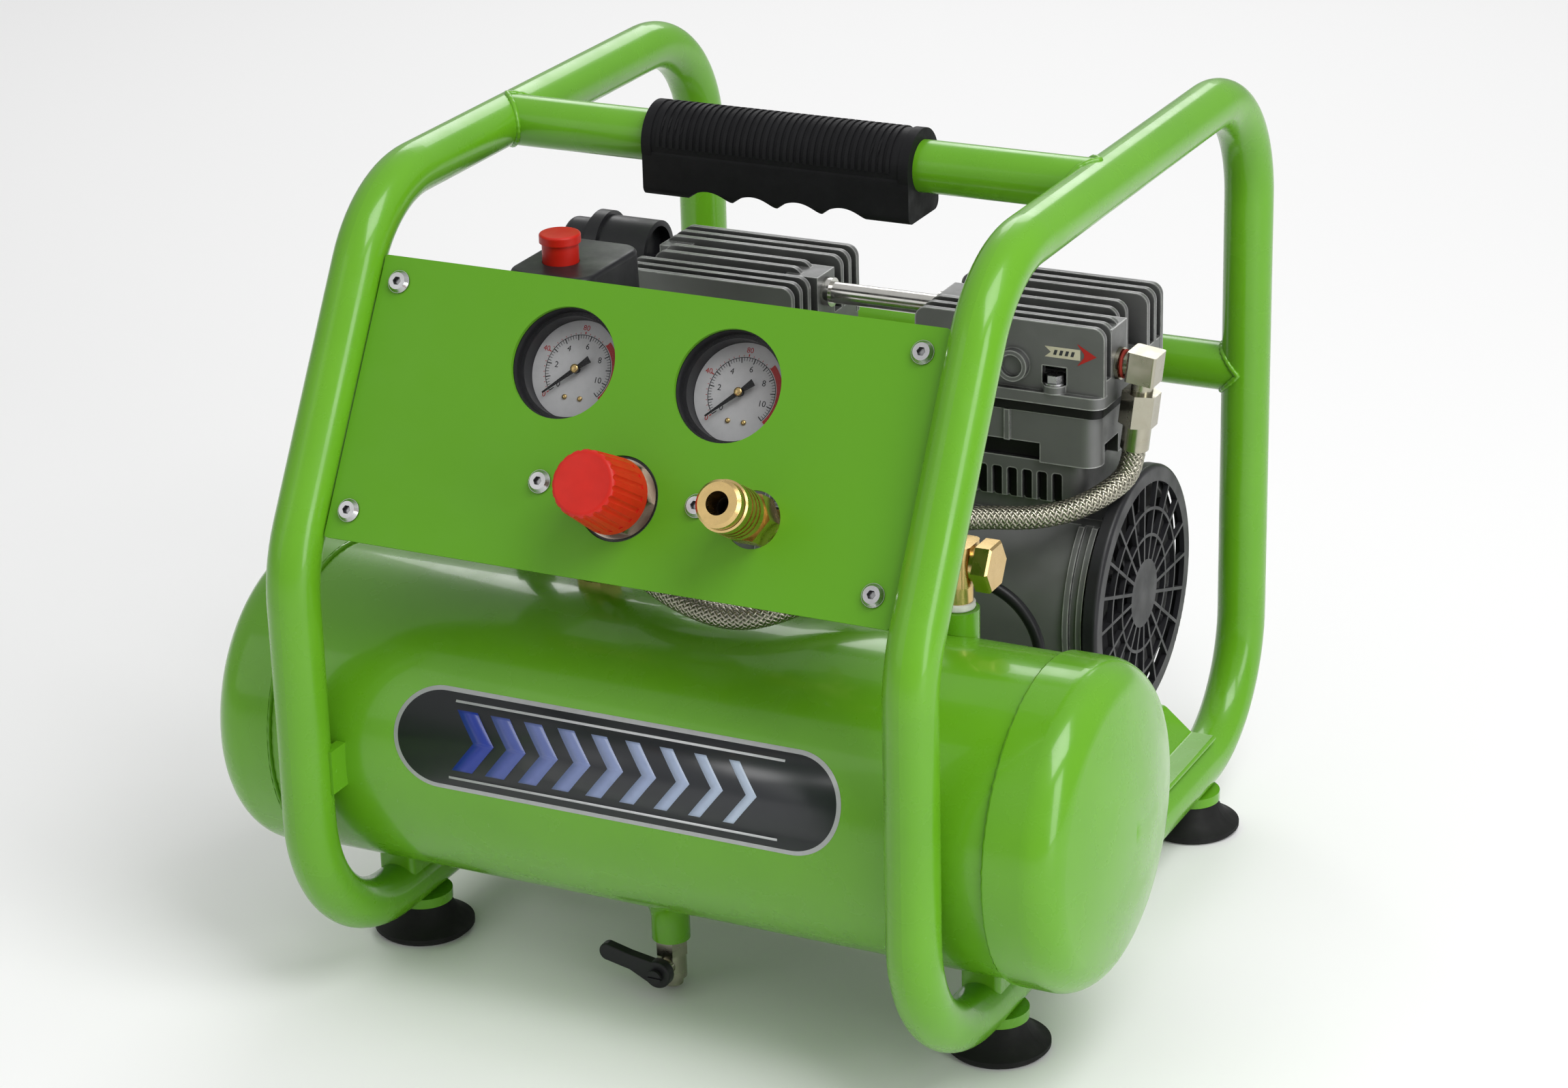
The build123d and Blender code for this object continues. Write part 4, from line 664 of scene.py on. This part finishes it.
def tank_badge():
    border = capsule_rows(BADGE_HALF + BADGE_BORDER, BADGE_STRAIGHT)
    badge_piece("badge_border", border, 0.03, 0.14, INK["silver"])
    badge_piece("badge_field", capsule_rows(BADGE_HALF, BADGE_STRAIGHT), 0.12, 0.24, INK["charcoal"])
    deep = Vector((0.012, 0.035, 0.26))
    pale = Vector((0.42, 0.50, 0.62))
    first = BADGE_X - 68 * MM
    for step in range(CHEVRONS):
        share = step / (CHEVRONS - 1)
        blue = printed("badge_blue_%d" % step, tuple(deep.lerp(pale, share)), 0.30)
        rows = chevron_rows(first + CHEVRON_PITCH * step, (11.0 - 5.5 * share) * MM)
        badge_piece("badge_arrow_%d" % step, rows, 0.22, 0.32, blue)
    for name, along in (("upper", LINE_ALONG), ("lower", -LINE_ALONG)):
        rows = [(along + shift * MM, BADGE_X - LINE_HALF, BADGE_X + LINE_HALF)
                for shift in (-0.6, 0.0, 0.6)]
        badge_piece("badge_line_" + name, rows, 0.22, 0.32, INK["silver"])


tank_badge()


# ---- small arrow label on the outlet head -------------------------------------------------------
def head_arrow():
    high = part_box("cylinder_head_right")[1]
    top_points = [v.co for v in nodes["cylinder_head_right"].data.vertices if v.co.z > high.z - 1 * MM]
    face_y = min(point.y for point in top_points)
    left = high.x - 31 * MM
    middle_z = high.z - 14.5 * MM

    def plate(work, outline, low_lift, high_lift):
        near = [Vector((left + x * MM, face_y - high_lift * MM, middle_z + z * MM)) for x, z in outline]
        far = [Vector((left + x * MM, face_y - low_lift * MM, middle_z + z * MM)) for x, z in outline]
        add_prism(work, far, near)

    shaft = ((0, -2.7), (18.5, -2.7), (18.5, 2.7), (0, 2.7), (3.2, 0))
    tip = ((17.0, -5.6), (27.0, 0), (17.0, 5.6), (20.6, 0.8), (20.6, -0.8))
    new_piece("head_arrow_shaft", lambda work: plate(work, shaft, 0.03, 0.16), INK["cream"],
              smooth=False)
    new_piece("head_arrow_tip", lambda work: plate(work, tip, 0.05, 0.20), INK["red"],
              smooth=False)

    def bar_marks(work):
        for k in range(4):
            bar = [(x + 3.0 * k, z) for x, z in ((4.4, -1.3), (6.0, -1.3), (6.8, 1.3), (5.2, 1.3))]
            plate(work, bar, 0.14, 0.20)

    new_piece("head_arrow_bars", bar_marks, INK["charcoal"], smooth=False)


head_arrow()


# ---- thread seals -------------------------------------------------------------------------------
PORT_X = 128.0 * MM               # the brass fitting on the tank
PORT_Y = -93.65 * MM
ELBOW_Y = 56.4 * MM               # the outlet elbow on the right head
ELBOW_Z = 286.0 * MM


def thread_seals():
    neck_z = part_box("tank_bungs")[1].z
    tape = Vector((PORT_X, PORT_Y, neck_z + 0.2 * MM))
    ring = ((6.2, 0.0), (8.3, 0.1), (8.7, 1.0), (8.4, 2.0), (8.6, 2.9), (8.0, 3.6), (6.2, 3.6))
    new_piece("port_thread_tape", lambda work: open_ring(work, tape, Vector((0, 0, 1)), ring, 40),
              BARE["seal_white"])
    head_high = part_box("cylinder_head_right")[1]
    stub = Vector((head_high.x + 2.2 * MM, ELBOW_Y, ELBOW_Z))
    bead = ((6.05, 0.0), (7.0, 0.2), (7.3, 0.9), (6.9, 1.6), (6.05, 1.8))
    new_piece("elbow_thread_seal", lambda work: open_ring(work, stub, Vector((1, 0, 0)), bead, 36),
              BARE["seal_red"])


# ---- hose and lead ------------------------------------------------------------------------------
HOSE_ROUTE = [
    (157.25, 56.4, 243.27), (155.79, 56.4, 231.36), (151.5, 47.0, 225.0), (140.0, 30.0, 218.5),
    (122.0, 15.0, 215.5), (98.0, -3.0, 219.5), (84.0, -24.0, 222.0), (80.0, -52.0, 222.5),
    (79.0, -84.0, 222.5), (73.0, -112.0, 220.5), (60.0, -134.0, 215.5), (40.0, -146.0, 211.0),
    (14.0, -147.0, 215.0), (-13.6, -139.74, 224.0), (-27.4, -128.17, 224.0),
]
LEAD_ROUTE = [
    (106.0, 29.6, 118.8), (106.0, 11.28, 103.3), (118.0, -9.0, 101.0), (131.0, -17.0, 122.0),
    (139.0, -19.0, 146.0), (138.0, -19.0, 171.0), (122.0, -20.0, 191.0), (92.0, -22.0, 198.0),
    (50.0, -30.0, 198.0), (12.0, -34.0, 207.0), (-16.0, -38.0, 234.0), (-28.0, -44.0, 264.0),
    (-44.0, -48.0, 287.0), (-71.45, -48.0, 289.0),
]


def smooth_line(route, spacing):
    """Points evenly spaced along the smooth curve that a route's points steer."""
    curve = bpy.data.curves.new("route", "CURVE")
    curve.dimensions = "3D"
    curve.resolution_u = 24
    spline = curve.splines.new("NURBS")
    spline.points.add(len(route) - 1)
    for point, place in zip(spline.points, route):
        point.co = (place[0] * MM, place[1] * MM, place[2] * MM, 1)
    spline.order_u = 3
    spline.use_endpoint_u = True
    holder = bpy.data.objects.new("route", curve)
    mesh = mesh_of(holder)
    rough = [vertex.co.copy() for vertex in mesh.vertices]
    bpy.data.objects.remove(holder)
    bpy.data.curves.remove(curve)
    bpy.data.meshes.remove(mesh)
    run = [0.0]
    for before, after in zip(rough, rough[1:]):
        run.append(run[-1] + (after - before).length)
    count = max(2, round(run[-1] / spacing))
    points = []
    k = 0
    for i in range(count + 1):
        target = run[-1] * i / count
        while k < len(run) - 2 and run[k + 1] < target:
            k += 1
        share = (target - run[k]) / max(run[k + 1] - run[k], 1e-9)
        points.append(rough[k].lerp(rough[k + 1], share))
    return points, run[-1]


def frames_along(points):
    """A steady pair of cross directions at each point of a line."""
    frames = []
    side = None
    for i in range(len(points)):
        before = points[max(i - 1, 0)]
        after = points[min(i + 1, len(points) - 1)]
        ahead = (after - before).normalized()
        if side is None:
            side = ahead.orthogonal().normalized()
        side = (side - ahead * side.dot(ahead)).normalized()
        frames.append((side, ahead.cross(side)))
    return frames


LINER_R = 5.2 * MM
BUNDLES = 12                      # flat bundles of wire that wind each way
BRAID_PITCH = 38 * MM
BRAID_R = 5.62 * MM
BRAID_WAVE = 0.16 * MM            # a bundle rises by this where it passes over one, and sinks under it
BUNDLE_HALF = 1.25 * MM


def braided_hose():
    """A liner under flat bundles of wire that cross over and under each other."""
    points, length = smooth_line(HOSE_ROUTE, 0.65 * MM)
    frames = frames_along(points)
    liner = new_piece("hose_liner", lambda work: tube_along(work, points, lambda i: LINER_R, 24),
                      SLOTS["braid"])
    turns = length / BRAID_PITCH
    # a bundle's section: how far across, as a share of its half width, and how high in millimetres
    section = ((-1, -0.12), (0, -0.13), (1, -0.12), (1, 0.04), (0, 0.15), (-1, 0.04))

    def strand(work, direction, phase):
        rings = []
        for i, (point, (side, other)) in enumerate(zip(points, frames)):
            share = i / (len(points) - 1)
            turn = 2 * math.pi * (direction * turns * share + phase)
            wave = math.cos(2 * math.pi * BUNDLES * turns * share) * direction
            middle = BRAID_R + BRAID_WAVE * wave
            spread = BUNDLE_HALF / middle
            ring = []
            for off, lift in section:
                angle = turn + off * spread
                reach = middle + lift * MM
                spoke = side * math.cos(angle) + other * math.sin(angle)
                ring.append(work.verts.new(point + spoke * reach))
            rings.append(ring)
        for low, high in zip(rings, rings[1:]):
            for k in range(len(section)):
                nxt = (k + 1) % len(section)
                work.faces.new((low[k], low[nxt], high[nxt], high[k]))
        work.faces.new(rings[0])
        work.faces.new(list(reversed(rings[-1])))

    def all_strands(work):
        for k in range(BUNDLES):
            strand(work, 1, k / BUNDLES)
            strand(work, -1, k / BUNDLES)

    new_piece("hose_braid", all_strands, SLOTS["braid"])
    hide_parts("braided_hose")


LEAD_R = 3.0 * MM
RELIEF = 16 * MM
RELIEF_TIP_R = 3.6 * MM
RELIEF_SWELL = 1.9 * MM
RIB_PITCH = 2 * MM
RIB_H = 0.25 * MM


def motor_lead():
    """Round rubber lead that swells into a ribbed relief where it enters each casing."""
    points, length = smooth_line(LEAD_ROUTE, 1.0 * MM)

    def radius(i):
        run = length * i / (len(points) - 1)
        near = min(run, length - run)
        if near > RELIEF:
            return LEAD_R
        rib = RIB_H * (1 if int(near / RIB_PITCH) % 2 else -1)
        return RELIEF_TIP_R + RELIEF_SWELL * (1 - near / RELIEF) + rib

    lead = new_piece("lead_sheath", lambda work: tube_along(work, points, radius, 20),
                     SLOTS["lead_rubber"])
    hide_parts("motor_lead")


def add_box(work, low, high):
    """A closed box between two corners given in millimetres."""
    corners = ((low[0], low[1]), (high[0], low[1]), (high[0], high[1]), (low[0], high[1]))
    low_ring = [Vector((x * MM, y * MM, low[2] * MM)) for x, y in corners]
    add_prism(work, low_ring, [point + Vector((0, 0, (high[2] - low[2]) * MM)) for point in low_ring])


# The cylinders' slots, in millimetres from the pump's middle, as the casting has them.
PUMP_Y = 76.4
CYLINDER_XS = (-68.0, 99.0)
# the plates of painted shade sit this far above each slot's floor, and are this thick
SHADE_PLATE_GAP = 0.02
SHADE_PLATE_T = 0.3
VENT_STARTS = [-26.5 + 8.0 * k for k in range(7)]
VENT_W = 5.0
VENT_FLOOR_Y = 32.5
VENT_Z = (214.1, 229.9)
WINDOW_X = (-27.9, 15.9)
WINDOW_FLOOR_Y = 33.0
WINDOW_Z = (236.1, 245.9)
END_FLOOR_X = 40
END_Y = (-28.4, -10.6)


def slot_linings():
    """Black plates of painted shade at the bottom of the cylinders' slots, a dark sheet where the slots hold only
    shadow.
    """
    fronts = [(WINDOW_X, WINDOW_FLOOR_Y, WINDOW_Z)]
    fronts += [((start, start + VENT_W), VENT_FLOOR_Y, VENT_Z) for start in VENT_STARTS]

    # lining gives the near and far faces of one plate of painted shade
    def lining(floor_at, front):
        return sorted((front * (floor_at + SHADE_PLATE_GAP), front * (floor_at + SHADE_PLATE_T)))

    def plates(work):
        for centre_x in CYLINDER_XS:
            for front in (-1, 1):
                for (x_low, x_high), floor_y, (z_low, z_high) in fronts:
                    near, far = lining(floor_y, front)
                    add_box(work, (centre_x + x_low, PUMP_Y + near, z_low),
                            (centre_x + x_high, PUMP_Y + far, z_high))
                near, far = lining(END_FLOOR_X, front)
                add_box(work, (centre_x + near, PUMP_Y + END_Y[0], WINDOW_Z[0]),
                        (centre_x + far, PUMP_Y + END_Y[1], WINDOW_Z[1]))

    new_piece("cylinder_slot_shade_plate", plates, SLOTS["gasket_black"], smooth=False)


def coupler_inside():
    """A black seal lining the outlet's bore, with the valve's plug at the bottom of it."""
    mouth = Vector(OUTLET["pos_m"])
    lining = ((5.45, -1.6), (4.7, -1.9), (4.7, -19.0), (5.45, -19.0))
    new_piece("coupler_seal", lambda work: open_ring(work, mouth, PANEL_OUT, lining, 36),
              SLOTS["gasket_black"])
    plug = ((0.0, -19.5), (4.6, -19.5), (4.6, -14.0), (3.2, -12.5), (0.0, -12.2))
    new_piece("coupler_plug", lambda work: lathe(work, mouth, PANEL_OUT, plug, 32),
              SLOTS["gasket_black"])


braided_hose()
motor_lead()
thread_seals()
coupler_inside()
# black plates of painted shade in the cylinders' slots
slot_linings()

# ---- floor, light and camera --------------------------------------------------------------------
FLOOR_HALF = 6
CAMERA_AT = (0.8283, -1.68385, 0.9414)
CAMERA_TURN = (26.16, 21.32, -1.37)  # azimuth, elevation and roll, in degrees
OBJECT_MIDDLE = (0, 0, 0.2)


def studio_floor():
    mesh = bpy.data.meshes.new("studio_floor")
    work = bmesh.new()
    bmesh.ops.create_grid(work, x_segments=1, y_segments=1, size=FLOOR_HALF)
    work.to_mesh(mesh)
    work.free()
    floor = bpy.data.objects.new("studio_floor", mesh)
    bpy.context.scene.collection.objects.link(floor)
    finish = Finish("pale_floor", (0.90, 0.90, 0.90), 0.6)
    mesh.materials.append(finish.material)


def area_light(name, place, size, power):
    data = bpy.data.lights.new(name, "AREA")
    data.shape = "RECTANGLE"
    data.size, data.size_y = size
    data.energy = power
    lamp = bpy.data.objects.new(name, data)
    bpy.context.scene.collection.objects.link(lamp)
    lamp.location = place
    aim = Vector(OBJECT_MIDDLE) - Vector(place)
    lamp.rotation_euler = aim.to_track_quat("-Z", "Y").to_euler()


def studio_world():
    """Pale dome, brighter overhead than at the horizon."""
    world = bpy.data.worlds.new("studio_world")
    world.use_nodes = True
    tree = world.node_tree
    background = tree.nodes["Background"]
    place = tree.nodes.new("ShaderNodeTexCoord")
    split = tree.nodes.new("ShaderNodeSeparateXYZ")
    height = tree.nodes.new("ShaderNodeMapRange")
    height.inputs["From Min"].default_value = -0.1
    height.inputs["From Max"].default_value = 0.9
    height.inputs["To Min"].default_value = 0.34
    height.inputs["To Max"].default_value = 0.62
    tree.links.new(place.outputs["Generated"], split.inputs["Vector"])
    tree.links.new(split.outputs["Z"], height.inputs["Value"])
    tree.links.new(height.outputs["Result"], background.inputs["Strength"])
    background.inputs["Color"].default_value = (1.0, 1.0, 1.0, 1)
    bpy.context.scene.world = world


def studio_camera():
    azimuth, elevation, roll = (math.radians(angle) for angle in CAMERA_TURN)
    back = Vector((math.sin(azimuth) * math.cos(elevation), -math.cos(azimuth) * math.cos(elevation),
                   math.sin(elevation)))
    right = Vector((math.cos(azimuth), math.sin(azimuth), 0))
    up = back.cross(right)
    rolled_right = right * math.cos(roll) + up * math.sin(roll)
    rolled_up = up * math.cos(roll) - right * math.sin(roll)
    data = bpy.data.cameras.new("studio_camera")
    data.lens = 93.03
    data.sensor_width = 36.0
    data.shift_x = -0.0095
    data.shift_y = -0.0238
    data.clip_end = 30
    camera = bpy.data.objects.new("studio_camera", data)
    bpy.context.scene.collection.objects.link(camera)
    turn = Matrix((rolled_right, rolled_up, back)).transposed()
    camera.matrix_world = Matrix.Translation(CAMERA_AT) @ turn.to_4x4()
    bpy.context.scene.camera = camera


studio_floor()
studio_world()
area_light("key_light", (1.3, -0.6, 2.3), (1.3, 1.3), 36)
area_light("side_light", (2.3, -1.0, 0.9), (0.7, 1.6), 17)
area_light("front_light", (-1.5, -2.0, 1.3), (1.2, 1.6), 4)
area_light("rear_light", (-0.8, 2.2, 1.7), (1.6, 1.0), 16)
studio_camera()
bpy.context.scene.view_settings.view_transform = "Standard"
